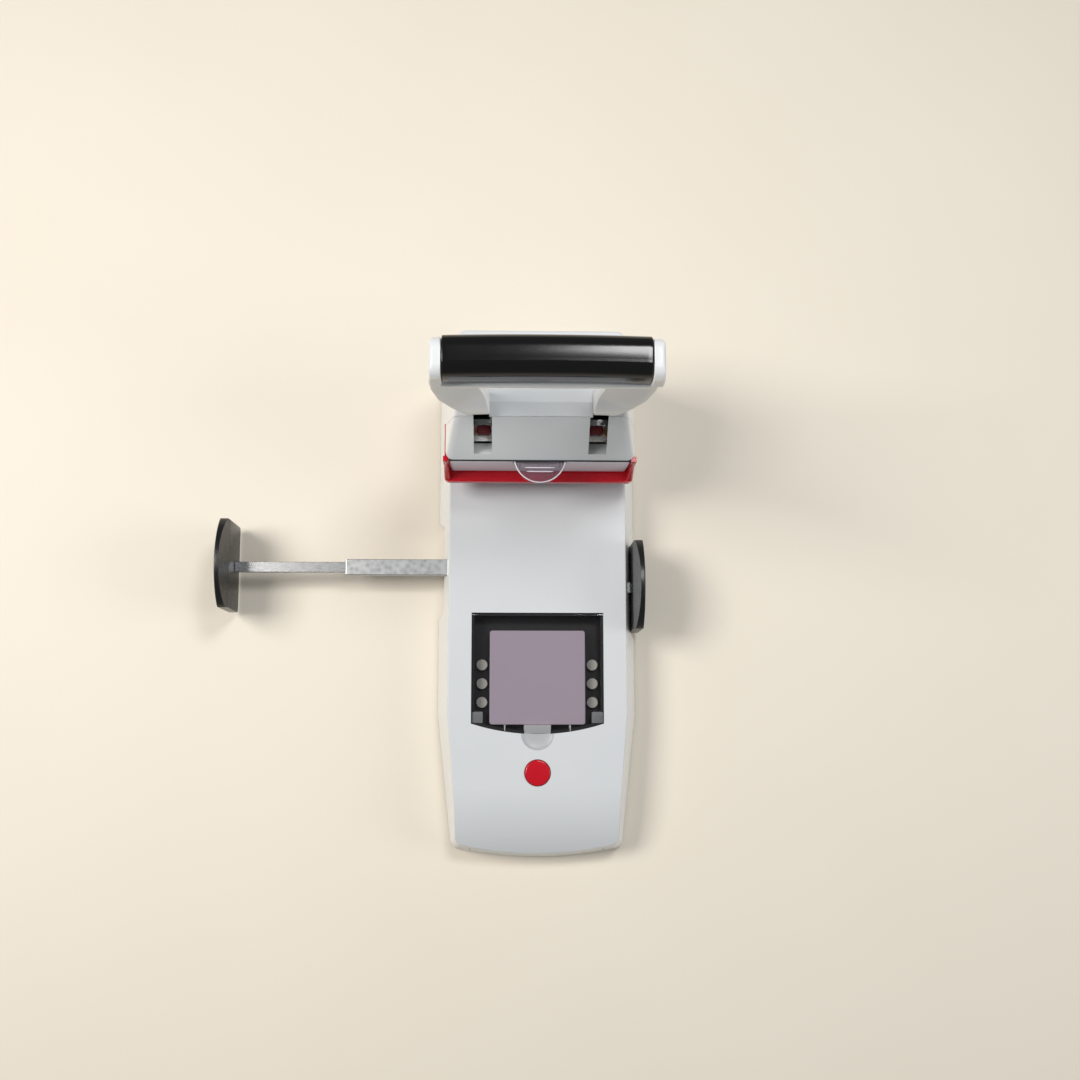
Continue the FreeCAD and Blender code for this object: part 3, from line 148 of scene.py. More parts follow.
def clearPolycarbonate(name, look):
    # clear tinted sheet, polished: what lies under it shows darker, with sharp reflections on top
    material, shader, place = startMaterial(name, IOR=1.58, Metallic=0.0, Alpha=look["alpha"])
    drift = noise(material, place, look["driftMm"], detail=1.0)
    joinTo(material, twoTones(material, look["shade"], look["tint"], drift), shader, "Base Color")
    hairlines = noise(material, stretched(material, place, look["stretch"]), look["hairlineMm"], detail=2.0)
    joinGloss(material, shader, hairlines, look["roughness"], look["roughness"] + look["roughSpread"],
              patternLow=0.35, patternHigh=0.75)
    return material


def machinedMetal(name, look):
    # bare metal: lines of the tool or brush lie along one axis, so they are drawn long there and fine across
    material, shader, place = startMaterial(name, Metallic=1.0)
    lines = noise(material, stretched(material, place, look["stretch"]), look["lineMm"], detail=3.0)
    joinTo(material, twoTones(material, look["shade"], look["colour"], lines), shader, "Base Color")
    joinGloss(material, shader, lines, look["roughness"] - look["roughSpread"],
              look["roughness"] + look["roughSpread"])
    joinBump(material, shader, lines, look["grainStrength"], look["grainDepth"])
    return material


def zincPlatedSheet(name, look):
    # cold rolled sheet with bright zinc: soft cloudy cells a few millimetres across
    material, shader, place = startMaterial(name, Metallic=1.0)
    cells = cellDistance(material, place, look["cellMm"])
    joinTo(material, twoTones(material, look["shade"], look["colour"], cells), shader, "Base Color")
    joinGloss(material, shader, cells, *look["roughness"])
    return material


def mouldedRubber(name, look):
    # black rubber: matt, with a fine pimpled skin
    material, shader, place = startMaterial(name, IOR=1.52, Metallic=0.0)
    skin = cellDistance(material, place, look["cellMm"])
    joinTo(material, twoTones(material, look["shade"], look["colour"], skin), shader, "Base Color")
    joinGloss(material, shader, skin, *look["roughness"])
    joinBump(material, shader, skin, look["grainStrength"], look["grainDepth"])
    return material


satin = {"driftMm": 70.0, "scuffMm": 9.0, "grainMm": 0.55, "roughness": 0.4, "roughSpread": 0.05,
         "grainStrength": 0.12, "grainDepth": 0.0001}
polished = {"driftMm": 40.0, "scuffMm": 6.0, "grainMm": 5.0, "roughness": 0.2, "roughSpread": 0.05,
            "grainStrength": 0.04, "grainDepth": 0.0002}
# painted light: side walls drawn whiter than the tops by the way they face, standing for the side lamps and
# sheen on them
paintedSideLight = {"wall": "#efefed", "wallFrom": 0.35, "wallTo": 0.62}
clear = {"hairlineMm": 0.35, "stretch": (1.0, 0.06, 1.0), "roughSpread": 0.08}
bareMetal = {"lineMm": 0.5, "stretch": (1.0, 1.0, 1.0), "roughSpread": 0.08, "grainStrength": 0.1,
             "grainDepth": 0.00005}
finishes = {
    "shell_grey": mouldedPlastic("satinGreyAbs", {
        **satin, **paintedSideLight, "colour": "#d2d6d9", "shade": "#cbd0d4"}),
    "housing_white": mouldedPlastic("satinLilacWhiteAbs", {**satin, "colour": "#e4e1e9", "shade": "#dcd9e3"}),
    "grip_black": mouldedPlastic("polishedBlackAbs", {
        **polished, "colour": "#08080a", "shade": "#050506", "roughness": 0.17, "roughSpread": 0.015,
        "scuffMm": 30.0, "specular": 0.42}),
    "red_plastic": mouldedPlastic("glossRedAbs", {
        **polished, "colour": "#c20a20", "shade": "#b8091e", "specular": 0.4}),
    "smoked_clear": clearPolycarbonate("smokedPolycarbonate", {
        **clear, "tint": "#1b191e", "shade": "#161418", "alpha": 0.17, "roughness": 0.06, "driftMm": 30.0}),
    "dark_plastic": mouldedPlastic("satinBlackAbs", {
        **satin, "colour": "#17171a", "shade": "#101012", "roughness": 0.42}),
    "lilac_plastic": mouldedPlastic("satinLilacPp", {
        **satin, "colour": "#cfc2d2", "shade": "#c6b8ca", "ior": 1.49}),
    "rubber": mouldedRubber("mouldedRubber", {
        "colour": "#2a2a2c", "shade": "#18181a", "cellMm": 0.9, "roughness": (0.72, 0.9),
        "grainStrength": 0.4, "grainDepth": 0.0001}),
    "sheet_steel": zincPlatedSheet("zincPlatedSheet", {
        "colour": "#b8bbbc", "shade": "#adb0b2", "cellMm": 4.0, "roughness": (0.30, 0.42)}),
    "bright_steel": machinedMetal("turnedSteel", {
        **bareMetal, "colour": "#c4c5c7", "shade": "#b6b8ba", "roughness": 0.27,
        "stretch": (0.08, 1.0, 1.0), "grainStrength": 0.15}),
    "tool_steel": machinedMetal("groundToolSteel", {
        **bareMetal, "colour": "#9c9ea1", "shade": "#8d8f92", "roughness": 0.22, "lineMm": 0.4,
        "stretch": (1.0, 1.0, 0.08)}),
    "bronze": machinedMetal("sinteredBronze", {
        **bareMetal, "colour": "#c99a55", "shade": "#a87b3c", "roughness": 0.48, "grainStrength": 0.35}),
    "spring_steel": machinedMetal("temperedSpringWire", {
        **bareMetal, "colour": "#85878b", "shade": "#5f6165", "roughness": 0.33, "lineMm": 0.6}),
    "disc_white": mouldedPlastic("mouldedNylon", {
        **satin, "colour": "#e2e1da", "shade": "#d8d6cd", "roughness": 0.45}),
}
# finishes of single pieces, where they differ a little from the rest of their slot; the dish, ledge and cap
# finishes are painted shade
pieceFinishes = {
    # the handle's side walls carry the same painted side light
    "handle": mouldedPlastic("satinPaleGreyAbs", {
        **satin, **paintedSideLight, "colour": "#dcdfe1", "shade": "#d4d8db"}),
    "stops": mouldedPlastic("polishedBlackStops", {
        **polished, "colour": "#0d0d0f", "shade": "#09090b", "roughness": 0.3}),
    "tab": clearPolycarbonate("clearPolycarbonate", {
        **clear, "tint": "#6d6674", "shade": "#645d6b", "alpha": 0.34, "roughness": 0.05, "driftMm": 12.0}),
    # painted shade: the thumb dish is drawn darker than the shell for the shade in its hollow
    "dish": mouldedPlastic("satinGreyAbsPaintedShade", {**satin, "colour": "#b2b6b9", "shade": "#a6aaae"}),
    # painted shade: the tray's ledge blocks are drawn darker for the shade they lie in under the lid
    "ledges": mouldedPlastic("ledgeGreyAbsPaintedShade", {**satin, "colour": "#95999d", "shade": "#8a8e92"}),
    # painted shade: the punch caps are drawn dark red for the shade deep in the slots
    "caps": mouldedPlastic("redAbsPaintedShade", {**satin, "colour": "#8e1322", "shade": "#80101e"}),
}
slotOfNode = {name: node.data.materials[0].name.split(".")[0] for name, node in nodes.items()}
for name, node in nodes.items():
    for materialSlot in node.material_slots:
        materialSlot.material = finishes[slotOfNode[name]]
print("finishes made:", len(finishes) + len(pieceFinishes))


# Softer edges on the solids that stay

edgeWidthsMm = {
    "base_shell": 0.9, "head_front_cover": 0.5, "head_rear_cover": 0.5, "head_lower_housing": 0.6,
    "guide_frame_red": 1.3, "chip_drawer": 0.45, "storage_lid": 0.35, "storage_case": 0.6,
    "storage_tray": 0.3, "paper_back_stop": 0.4, "foot_rear": 1.0, "foot_front": 1.0,
    "stop_rail_outer_left": 0.5, "stop_rail_outer_right": 0.5, "stop_rail_inner_left": 0.4,
    "stop_rail_inner_right": 0.4, "lever_arm_left": 0.4, "lever_arm_right": 0.4, "base_plate": 0.3,
    "die_plate": 0.3,
}
edgeLook = {"weldMetres": 1e-6, "flatDegrees": 1.0, "sharpDegrees": 35.0, "segments": 3}
pieceWeldMetres = 2e-6


def softenEdges(node, widthMm):
    # loose triangles are welded and merged into flat faces, then their sharp edges get a small round
    weld = node.modifiers.new("weld", "WELD")
    weld.merge_threshold = edgeLook["weldMetres"]
    flat = node.modifiers.new("flat", "DECIMATE")
    flat.decimate_type = "DISSOLVE"
    flat.angle_limit = math.radians(edgeLook["flatDegrees"])
    edge = node.modifiers.new("edge", "BEVEL")
    edge.width = widthMm * 0.001
    edge.segments = edgeLook["segments"]
    edge.limit_method = "ANGLE"
    edge.angle_limit = math.radians(edgeLook["sharpDegrees"])
    edge.harden_normals = True
    shade = node.modifiers.new("shade", "WEIGHTED_NORMAL")
    shade.keep_sharp = True


for name, widthMm in edgeWidthsMm.items():
    softenEdges(nodes[name], widthMm)
print("edges softened:", len(edgeWidthsMm))


# Surfaces: flat closed outlines, stacked into rings, in millimetres

def rectangle(aLow, aHigh, bLow, bHigh):
    # the four corners in turn, for single values or for stacks of them
    corners = ((aLow, bLow), (aHigh, bLow), (aHigh, bHigh), (aLow, bHigh))
    return np.stack([np.stack(corner, -1) for corner in corners], -2)


def unit(vectors):
    # the small number keeps a vector of no length from dividing by zero
    return vectors / np.maximum(np.linalg.norm(vectors, axis=-1, keepdims=True), 1e-9)


def roundedLoop(corners, radii, steps):
    # each corner of a closed outline becomes an arc tangent to both of its sides; works on stacks of outlines
    corners = np.asarray(corners, float)
    radii = np.broadcast_to(np.asarray(radii, float), corners.shape[:-1])[..., None]
    toBefore = unit(np.roll(corners, 1, -2) - corners)
    toAfter = unit(np.roll(corners, -1, -2) - corners)
    # the clip keeps a straight corner, which has no arc, from dividing by zero
    cosine = np.clip((toBefore * toAfter).sum(-1, keepdims=True), -0.99999, 0.99999)
    half = np.arccos(cosine) / 2.0
    centre = corners + unit(toBefore + toAfter) * radii / np.sin(half)
    start = corners + toBefore * radii / np.tan(half) - centre
    end = corners + toAfter * radii / np.tan(half) - centre
    t = np.linspace(0.0, 1.0, steps)[:, None]
    sweep = math.pi - 2.0 * half[..., None]
    # arc = (sin((1 - t) sweep) start + sin(t sweep) end) / sin(sweep)
    arc = np.sin((1.0 - t) * sweep) * start[..., None, :] + np.sin(t * sweep) * end[..., None, :]
    arc = arc / np.sin(sweep) + centre[..., None, :]
    return arc.reshape(*corners.shape[:-2], -1, 2)


def drawnIn(loops, inset, centre, size):
    # one outline for each inset, scaled about the centre so that the sides of its box come in by that much
    return centre + (loops - centre) * (1.0 - 2.0 * inset[:, None, None] / size)


def placeRings(loops, axis, stations):
    # puts each flat outline at its station along x, y or z
    rings = np.empty((*loops.shape[:-1], 3))
    across = [i for i in range(3) if i != axis]
    rings[..., across[0]] = loops[..., 0]
    rings[..., across[1]] = loops[..., 1]
    rings[..., axis] = np.asarray(stations, float)[:, None]
    return rings


def quarterRound(radius, steps):
    # points of a round edge, from its one side to the other: r (1 - sin a) and r (1 - cos a)
    angle = np.linspace(0.0, math.pi / 2.0, steps)
    return radius * (1.0 - np.sin(angle)), radius * (1.0 - np.cos(angle))


def endRound(reach, radius, steps=6):
    # stations and insets that round both ends of a sweep from -reach to reach
    inset, along = quarterRound(radius, steps)
    station = reach - along
    return np.r_[-station, station[::-1]], np.r_[inset, inset[::-1]]


def revolve(profile, centre, steps=96):
    # (radius, height) pairs turned round an upright axis: x = r cos a, y = r sin a
    profile = np.asarray(profile, float)
    angle = np.linspace(0.0, 2.0 * math.pi, steps, endpoint=False)
    x = centre[0] + profile[:, :1] * np.cos(angle)
    y = centre[1] + profile[:, :1] * np.sin(angle)
    z = np.broadcast_to(profile[:, 1:], x.shape)
    return np.stack([x, y, z], -1)


def tubeAlong(points, radius, lastRing=0.35, lastButOne=0.85, steps=16):
    # a circle carried along a flat path, closing in at both ends: side cos a + up sin a
    points = np.asarray(points, float)
    side = np.cross(unit(np.gradient(points, axis=0)), [0.0, 0.0, 1.0])
    up = np.array([0.0, 0.0, 1.0])
    angle = np.linspace(0.0, 2.0 * math.pi, steps, endpoint=False)
    size = np.ones(len(points))
    size[[0, -1]] = lastRing
    size[[1, -2]] = lastButOne
    ring = np.cos(angle)[None, :, None] * side[:, None] + np.sin(angle)[None, :, None] * up
    return points[:, None] + ring * (radius * size)[:, None, None]


def makePiece(name, parts, slotName, body, replaced=(), sharpDegrees=38.0, finish=None):
    # every part is a stack of closed rings in millimetres: side faces join ring to ring and a flat face
    # closes each end
    vertices, faces, offset = [], [], 0
    for rings in parts:
        count, around = rings.shape[:2]
        index = np.arange(count * around).reshape(count, around) + offset
        low, high = index[:-1], index[1:]
        quads = np.stack([low, np.roll(low, -1, 1), np.roll(high, -1, 1), high], -1)
        faces += quads.reshape(-1, 4).tolist() + [index[0][::-1].tolist(), index[-1].tolist()]
        vertices.append(rings.reshape(-1, 3) * 0.001)
        offset += count * around
    mesh = bpy.data.meshes.new(name)
    mesh.from_pydata(np.concatenate(vertices).tolist(), [], faces)
    tidy = bmesh.new()
    tidy.from_mesh(mesh)
    bmesh.ops.remove_doubles(tidy, verts=tidy.verts, dist=pieceWeldMetres)
    bmesh.ops.recalc_face_normals(tidy, faces=tidy.faces)
    tidy.to_mesh(mesh)
    tidy.free()
    mesh.polygons.foreach_set("use_smooth", np.ones(len(mesh.polygons), bool))
    mesh.set_sharp_from_angle(angle=math.radians(sharpDegrees))
    piece = bpy.data.objects.new(name, mesh)
    bpy.context.scene.collection.objects.link(piece)
    mesh.materials.append(finish or finishes[slotName])
    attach(piece, body)
    if replaced:
        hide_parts(*replaced)


def boxMm(node):
    low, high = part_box(node)
    return np.array(low) * 1000.0, np.array(high) * 1000.0


# Grip: two shells that meet in a fine crease

grip = {
    "frontIn": 3.0, "bow": 0.9, "round": 9.5, "leastRound": 0.1, "roundLoss": 0.4, "endRound": 0.9,
    "endGap": 0.35, "creaseY": 2.6, "creaseGap": 0.3, "creaseRound": 0.6, "crown": 0.7, "crownY": 10.5,
    "crownHalf": 15.0, "stations": 39,
}


def gripShell(low, high, front):
    reach = high[0] - grip["endGap"]
    station, inset = endRound(reach, grip["endRound"])
    half = len(station) // 2
    between = np.linspace(station[half - 1], station[half], grip["stations"] + 2)[1:-1]
    station = np.r_[station[:half], between, station[half:]]
    inset = np.r_[inset[:half], np.zeros(len(between)), inset[half:]]
    seam = grip["creaseY"] + grip["creaseGap"] / 2.0 * (-1.0 if front else 1.0)
    yFront, yRear = (low[1] + grip["frontIn"], seam) if front else (seam, high[1] - grip["bow"])
    corners = rectangle(yFront + inset, yRear - inset, low[2] + inset, high[2] - inset)
    big, small = grip["round"], grip["creaseRound"]
    radii = np.array([big, small, small, big] if front else [small, big, big, small])
    radii = np.maximum(radii - inset[:, None] * grip["roundLoss"], grip["leastRound"])
    rings = placeRings(roundedLoop(corners, radii, steps=12), 0, station)
    # the whole grip bows a little towards the rear: y grows by bow (1 - (x / reach)^2)
    rings[..., 1] += grip["bow"] * (1.0 - (rings[..., 0] / reach) ** 2)
    # the top is crowned: above mid height z drops by crown ((y - crownY) / crownHalf)^2
    middle = (low[2] + high[2]) / 2.0
    above = np.clip((rings[..., 2] - middle) / (high[2] - middle), 0.0, 1.0)
    rings[..., 2] -= above * grip["crown"] * ((rings[..., 1] - grip["crownY"]) / grip["crownHalf"]) ** 2
    return rings


gripLow, _ = boxMm("grip_front")
_, gripHigh = boxMm("grip_rear")
makePiece("gripFrontShell", [gripShell(gripLow, gripHigh, True)], "grip_black", "handle", ["grip_front"])
makePiece("gripRearShell", [gripShell(gripLow, gripHigh, False)], "grip_black", "handle", ["grip_rear"])
print("grip made")


# Handle: two webbed legs that run up into the cheeks beside the grip

# a line of the leg is given by heights, the values there and how far its bends are softened
handle = {
    "outer": ([139.0, 150.0, 163.0, 190.0, 225.0, 267.0], [51.2, 63.0, 69.8, 74.0, 72.8, 70.3], 5.0),
    "inner": ([139.0, 148.0, 165.0, 238.0], [35.2, 37.0, 42.6, 41.8], 3.0),
    "front": ([139.0, 155.0, 190.0, 224.0, 246.0, 258.0], [0.5, 4.0, 5.0, 5.0, -8.2, -8.2], 4.0),
    "rear": ([139.0, 190.0, 250.0, 258.0], [17.2, 23.0, 20.0, 18.6], 5.0),
    "dish": ([139.0, 144.0, 152.0, 170.0, 222.0, 238.0], [0.3, 0.9, 6.0, 10.0, 10.0, 6.0], 2.5),
    "outerRound": ([139.0, 160.0, 258.0, 267.0], [2.5, 4.5, 4.5, 1.5]),
    "rounds": (1.6, 1.2, 0.7, 1.2), "rim": 4.2, "foot": 139.0, "footRound": 2.0, "footShrink": 0.06,
    "gripUnder": 239.0, "cheekInner": 63.5, "cheekDish": 0.4, "cheekRim": 3.4, "top": 267.0,
    "capRound": 9.0, "edge": 2.4, "jump": 0.02, "jumpRise": 1.0, "legSteps": 64, "cheekSteps": 14,
    "capTurn": (0.06, 0.47), "barEnd": 0.4, "barIn": 1.0,
    "bars": ((6.0, 20.8, 235.0, 240.5, 1.6), (-6.6, 2.0, 236.2, 241.2, 1.8)),
}


def softLine(z, line):
    # the broken line through the values, averaged over a short length, so its bends turn into curves
    heights, values, blur = handle[line]
    shifts = np.linspace(-blur, blur, 13)
    return np.mean([np.interp(z + shift, heights, values) for shift in shifts], axis=0)


def legHeights():
    # even steps up to the cheek's shoulder, a hair's jump there, and steps that shorten over the cap
    h = handle
    capStart = h["top"] - h["capRound"]
    capTurn = np.linspace(*h["capTurn"], h["cheekSteps"]) * math.pi
    return np.r_[np.linspace(h["foot"], h["gripUnder"], h["legSteps"]), h["gripUnder"] + h["jump"],
                 np.linspace(h["gripUnder"] + h["jumpRise"], capStart, h["cheekSteps"]),
                 capStart + h["capRound"] * np.sin(capTurn)]


def roundOff(z, top, radius):
    # how far a side comes in over the last stretch below the top: r (1 - sqrt(1 - t^2))
    t = np.clip((z - (top - radius)) / radius, 0.0, 1.0)
    return radius * (1.0 - np.sqrt(1.0 - t ** 2))


def legRings(sign):
    h = handle
    z = legHeights()
    inCheek = z > h["gripUnder"] + h["jump"] / 2.0
    drop = roundOff(z, h["top"], h["capRound"])
    outer = softLine(z, "outer") - roundOff(z, h["top"], h["edge"])
    inner = np.where(inCheek, h["cheekInner"], softLine(z, "inner"))
    front = softLine(z, "front") + drop
    rear = softLine(z, "rear") - drop
    dish = np.where(inCheek, h["cheekDish"], softLine(z, "dish"))
    rim = np.where(inCheek, h["cheekRim"], h["rim"])
    corners = np.stack([np.c_[outer, front], np.c_[outer - rim, front], np.c_[inner, front + dish],
                        np.c_[inner, rear], np.c_[outer, rear]], 1)
    radii = np.c_[np.tile(h["rounds"], (len(z), 1)), np.interp(z, *h["outerRound"])]
    loops = roundedLoop(corners, radii, steps=8)
    # the foot of the leg closes over a small round: outlines shrink towards their middle below it
    t = np.clip((z - h["foot"]) / h["footRound"], 0.0, 1.0)
    shrink = 1.0 - h["footShrink"] * (1.0 - np.sqrt(1.0 - (1.0 - t) ** 2))
    centre = loops.mean(1, keepdims=True)
    loops = centre + (loops - centre) * shrink[:, None, None]
    loops[..., 0] *= sign
    return placeRings(loops, 2, z)


def crossBar(yLow, yHigh, zLow, zHigh, radius):
    station, inset = endRound(handle["cheekInner"] + handle["barIn"], handle["barEnd"], steps=3)
    loop = roundedLoop(rectangle(yLow, yHigh, zLow, zHigh), radius, steps=6)
    size = np.array([yHigh - yLow, zHigh - zLow])
    return placeRings(drawnIn(loop, inset, loop.mean(0), size), 0, station)


makePiece("handleShell", [legRings(1.0), legRings(-1.0), *[crossBar(*bar) for bar in handle["bars"]]],
          "shell_grey", "handle", ["handle_shell"], finish=pieceFinishes["handle"])
print("handle made")


# Side stops: arched plates whose inner face slopes back above the sheet

stop = {"arch": 42.0, "archIn": 1.05, "archRound": 0.4, "footRound": 2.5, "edge": 0.9, "bevelFoot": 46.0,
        "bevelDepth": 3.8, "layers": 26, "sharpDegrees": 25.0}


def stopRings(low, high, innerIsHigh):
    # outline in y and z, stacked along x; above the foot of the bevel a sloping plane cuts off every layer
    half = (high[1] - low[1]) / 2.0
    shoulder = high[2] - (stop["arch"] - math.sqrt(stop["arch"] ** 2 - half ** 2))
    # arch: y = arch sin a, z = top - arch (1 - cos a)
    angle = np.linspace(-1.0, 1.0, 61) * math.asin((half - stop["archIn"]) / stop["arch"])
    arch = np.c_[stop["arch"] * np.sin(angle), high[2] - stop["arch"] * (1.0 - np.cos(angle))]
    foot = roundedLoop([[half, shoulder], [half, low[2]], [-half, low[2]], [-half, shoulder]],
                       [stop["archRound"], stop["footRound"], stop["footRound"], stop["archRound"]], steps=8)
    outline = np.concatenate([arch, foot])
    thick = high[0] - low[0]
    edgeIn, edgeAlong = quarterRound(stop["edge"], steps=6)
    inset = np.r_[edgeIn, np.zeros(stop["layers"]), edgeIn[::-1]]
    depth = np.r_[edgeAlong, np.linspace(stop["edge"], thick - stop["edge"], stop["layers"] + 2)[1:-1],
                  thick - edgeAlong[::-1]]
    centre = np.array([0.0, (high[2] + low[2]) / 2.0])
    loops = drawnIn(outline, inset, centre, np.array([2.0 * half, high[2] - low[2]]))
    bevel = stop["bevelFoot"] + (thick - depth) * (high[2] - stop["bevelFoot"]) / stop["bevelDepth"]
    loops[..., 1] = np.minimum(loops[..., 1], bevel[:, None])
    loops[..., 0] += (high[1] + low[1]) / 2.0
    return placeRings(loops, 0, low[0] + depth if innerIsHigh else high[0] - depth)


for side, innerIsHigh in (("left", True), ("right", False)):
    plateLow, plateHigh = boxMm(f"stop_plate_{side}")
    makePiece(f"stopPlate_{side}", [stopRings(plateLow, plateHigh, innerIsHigh)], "dark_plastic",
              f"{side}_stop", [f"stop_plate_{side}"], stop["sharpDegrees"], pieceFinishes["stops"])
print("side stops made")


# Release tab: a clear half disc with a raised rim and finger ribs

tab = {
    "edge": 0.6, "rim": 0.45, "rimLift": 0.1, "ribs": ((11.0, -27.6), (9.6, -30.4)), "ribRadius": 0.42,
    "darkRib": (12.4, -24.6), "darkRibRadius": 0.6, "sideRibX": (14.2, 16.4), "sideRibY": (-27.5, -22.5),
    "sideRibRadius": 0.5, "rimSteps": 61, "ribSteps": 14, "sideRibSteps": 8,
}
tabLow, tabHigh = boxMm("release_tab")
tabRadius = (tabHigh[0] - tabLow[0]) / 2.0
tabCentreY = tabLow[1] + tabRadius
tabTop = tabHigh[2]
halfTurn = np.linspace(math.pi, 2.0 * math.pi, tab["rimSteps"])


def crossRib(reach, y, radius):
    return tubeAlong(np.linspace([-reach, y, tabTop], [reach, y, tabTop], tab["ribSteps"]), radius)


def sideRib(x):
    yLow, yHigh = tab["sideRibY"]
    path = np.linspace([x, yLow, tabTop], [x, yHigh, tabTop], tab["sideRibSteps"])
    return tubeAlong(path, tab["sideRibRadius"])


tabOutline = np.r_[np.c_[tabRadius * np.cos(halfTurn), tabCentreY + tabRadius * np.sin(halfTurn)],
                   [[tabRadius, tabHigh[1]], [-tabRadius, tabHigh[1]]]]
edgeIn, edgeAlong = quarterRound(tab["edge"], steps=5)
tabLoops = drawnIn(tabOutline, np.r_[edgeIn, edgeIn[::-1]], np.array([0.0, tabCentreY]), 2.0 * tabRadius)
tabHeights = np.r_[tabLow[2] + edgeAlong, tabTop - edgeAlong[::-1]]
makePiece("releaseTab", [placeRings(tabLoops, 2, tabHeights)], "smoked_clear", "tab", ["release_tab"],
          finish=pieceFinishes["tab"])
rimRadius = tabRadius - tab["rim"]
rimPath = np.c_[rimRadius * np.cos(halfTurn), tabCentreY + rimRadius * np.sin(halfTurn),
                np.full(len(halfTurn), tabTop + tab["rimLift"])]
# painted highlight: the rim and the two lower ribs of the clear tab are drawn white for the bright lines of
# light along them
highlightRibParts = [tubeAlong(rimPath, tab["rim"])] + [crossRib(*rib, tab["ribRadius"]) for rib in tab["ribs"]]
makePiece("tabRibsPaintedHighlight", highlightRibParts, "housing_white", "tab")
darkRibs = [crossRib(*tab["darkRib"], tab["darkRibRadius"])]
darkRibs += [sideRib(sign * x) for x in tab["sideRibX"] for sign in (-1.0, 1.0)]
makePiece("tabSideRibs", darkRibs, "smoked_clear", "tab")
print("release tab made")


# Button with a crowned top

button = {"radius": 9.5, "crown": 0.35, "edge": 1.1, "flangeHeight": 2.0, "topHole": 0.02, "foot": 4.0,
          "crownSteps": 10}
buttonLow, buttonHigh = boxMm("red_button")
flangeRadius = (buttonHigh[0] - buttonLow[0]) / 2.0
flangeTop = buttonLow[2] + button["flangeHeight"]
crownRadii = np.linspace(button["topHole"], button["radius"] - button["edge"], button["crownSteps"])
edgeIn, edgeAlong = quarterRound(button["edge"], steps=8)
# crown: z = top - crown (r / radius)^2
capProfile = np.r_[
    np.c_[crownRadii, buttonHigh[2] - button["crown"] * (crownRadii / button["radius"]) ** 2],
    np.c_[button["radius"] - edgeIn, buttonHigh[2] - button["crown"] - edgeAlong],
    [[button["radius"], flangeTop], [flangeRadius, flangeTop], [flangeRadius, buttonLow[2]],
     [button["foot"], buttonLow[2]]]]
makePiece("buttonCap", [revolve(capProfile, (buttonLow + buttonHigh) / 2.0)], "red_plastic", "button",
          ["red_button"])
print("button made")


# Corner webs that carry the red lip up to the seam

gusset = {"low": 65.0, "high": 100.6, "flare": 6.6, "thick": 4.6, "taper": 0.62, "lean": 1.4,
          "frontTop": -24.0, "back": -19.2, "rounds": (1.0, 1.7, 0.6, 0.6), "sideIn": 0.2,
          "steps": 24}


def gussetRings(sign, outerX):
    # rectangles in x and y stacked along z; their front moves back with (1 - t)^2
    t = np.linspace(0.0, 1.0, gusset["steps"])
    front = gusset["frontTop"] - gusset["flare"] * (1.0 - t) ** 2
    outer = outerX - gusset["lean"] * t ** 2
    inner = outer - gusset["thick"] * (1.0 - gusset["taper"] * t)
    corners = rectangle(inner, outer, front, np.full_like(t, gusset["back"]))
    # the corner order of the rounds is inner front, outer front, outer back, inner back
    loops = roundedLoop(corners, gusset["rounds"], steps=6)
    loops[..., 0] *= sign
    return placeRings(loops, 2, gusset["low"] + (gusset["high"] - gusset["low"]) * t)


postOuter = boxMm("guide_frame_red")[1][0] - gusset["sideIn"]
makePiece("cornerWebs", [gussetRings(1.0, postOuter), gussetRings(-1.0, postOuter)], "red_plastic", "base")
print("corner webs made")


# Thumb dish in front of the lid

dish = {"radius": 12.15, "centreY": -214.6, "depth": 1.72, "sheet": 0.4, "power": 5.0, "clear": 0.02,
        "lidBow": 161.7, "lidHalf": 49.3, "lidSide": 207.3, "lidGap": 0.35, "leastReach": 0.01,
        "xSteps": 61, "ySteps": 31}


def dishSheet():
    # x runs over the dish, y from the lid's bowed edge to the round front; z = top - depth (1 - rho^power)
    u = np.sin(np.linspace(-1.0, 1.0, dish["xSteps"]) * math.pi / 2.0)[:, None]
    u = u * (dish["radius"] - dish["clear"])
    v = np.sin(np.linspace(0.0, 1.0, dish["ySteps"]) * math.pi / 2.0)[None]
    bow = np.sqrt(dish["lidBow"] ** 2 - u ** 2) - math.sqrt(dish["lidBow"] ** 2 - dish["lidHalf"] ** 2)
    rear = -dish["lidSide"] - bow - dish["lidGap"]
    front = dish["centreY"] - np.sqrt(np.maximum(dish["radius"] ** 2 - u ** 2, 0.0))
    front = np.minimum(front, rear - dish["leastReach"])
    y = rear + (front - rear) * v
    x = np.broadcast_to(u, y.shape)
    rho = np.clip(np.sqrt(x ** 2 + (y - dish["centreY"]) ** 2) / dish["radius"], 0.0, 1.0)
    top = boxMm("base_shell")[1][2] - dish["clear"]
    upper = np.stack([x, y, top - dish["depth"] * (1.0 - rho ** dish["power"])], -1)
    lower = upper - np.array([0.0, 0.0, dish["sheet"]])
    # each ring goes out along the upper sheet and back along the lower one
    return np.concatenate([upper, lower[:, ::-1]], 1)


# the dish's darker finish is painted shade
makePiece("thumbDish", [dishSheet()], "shell_grey", "base", finish=pieceFinishes["dish"])
print("thumb dish made")


# Fittings in the storage tray that show through the lid

tray = {
    "topRound": 0.4, "topEase": 0.3, "rear": -208.2, "ribX": 24.3, "ribHalf": 0.55, "ribFront": -212.7,
    "ribTop": 33.56, "ribRound": 0.3, "tongueHalf": 10.0, "tongueFront": -214.9, "tongueRound": 0.4,
    "lidGap": 0.05, "ledgeX": (40.6, 49.0), "ledgeY": (-207.0, -198.5), "ledgeTop": 33.54, "ledgeRound": 0.8,
}
trayFloor = boxMm("storage_case")[0][2]
lidUnder = boxMm("storage_lid")[0][2]


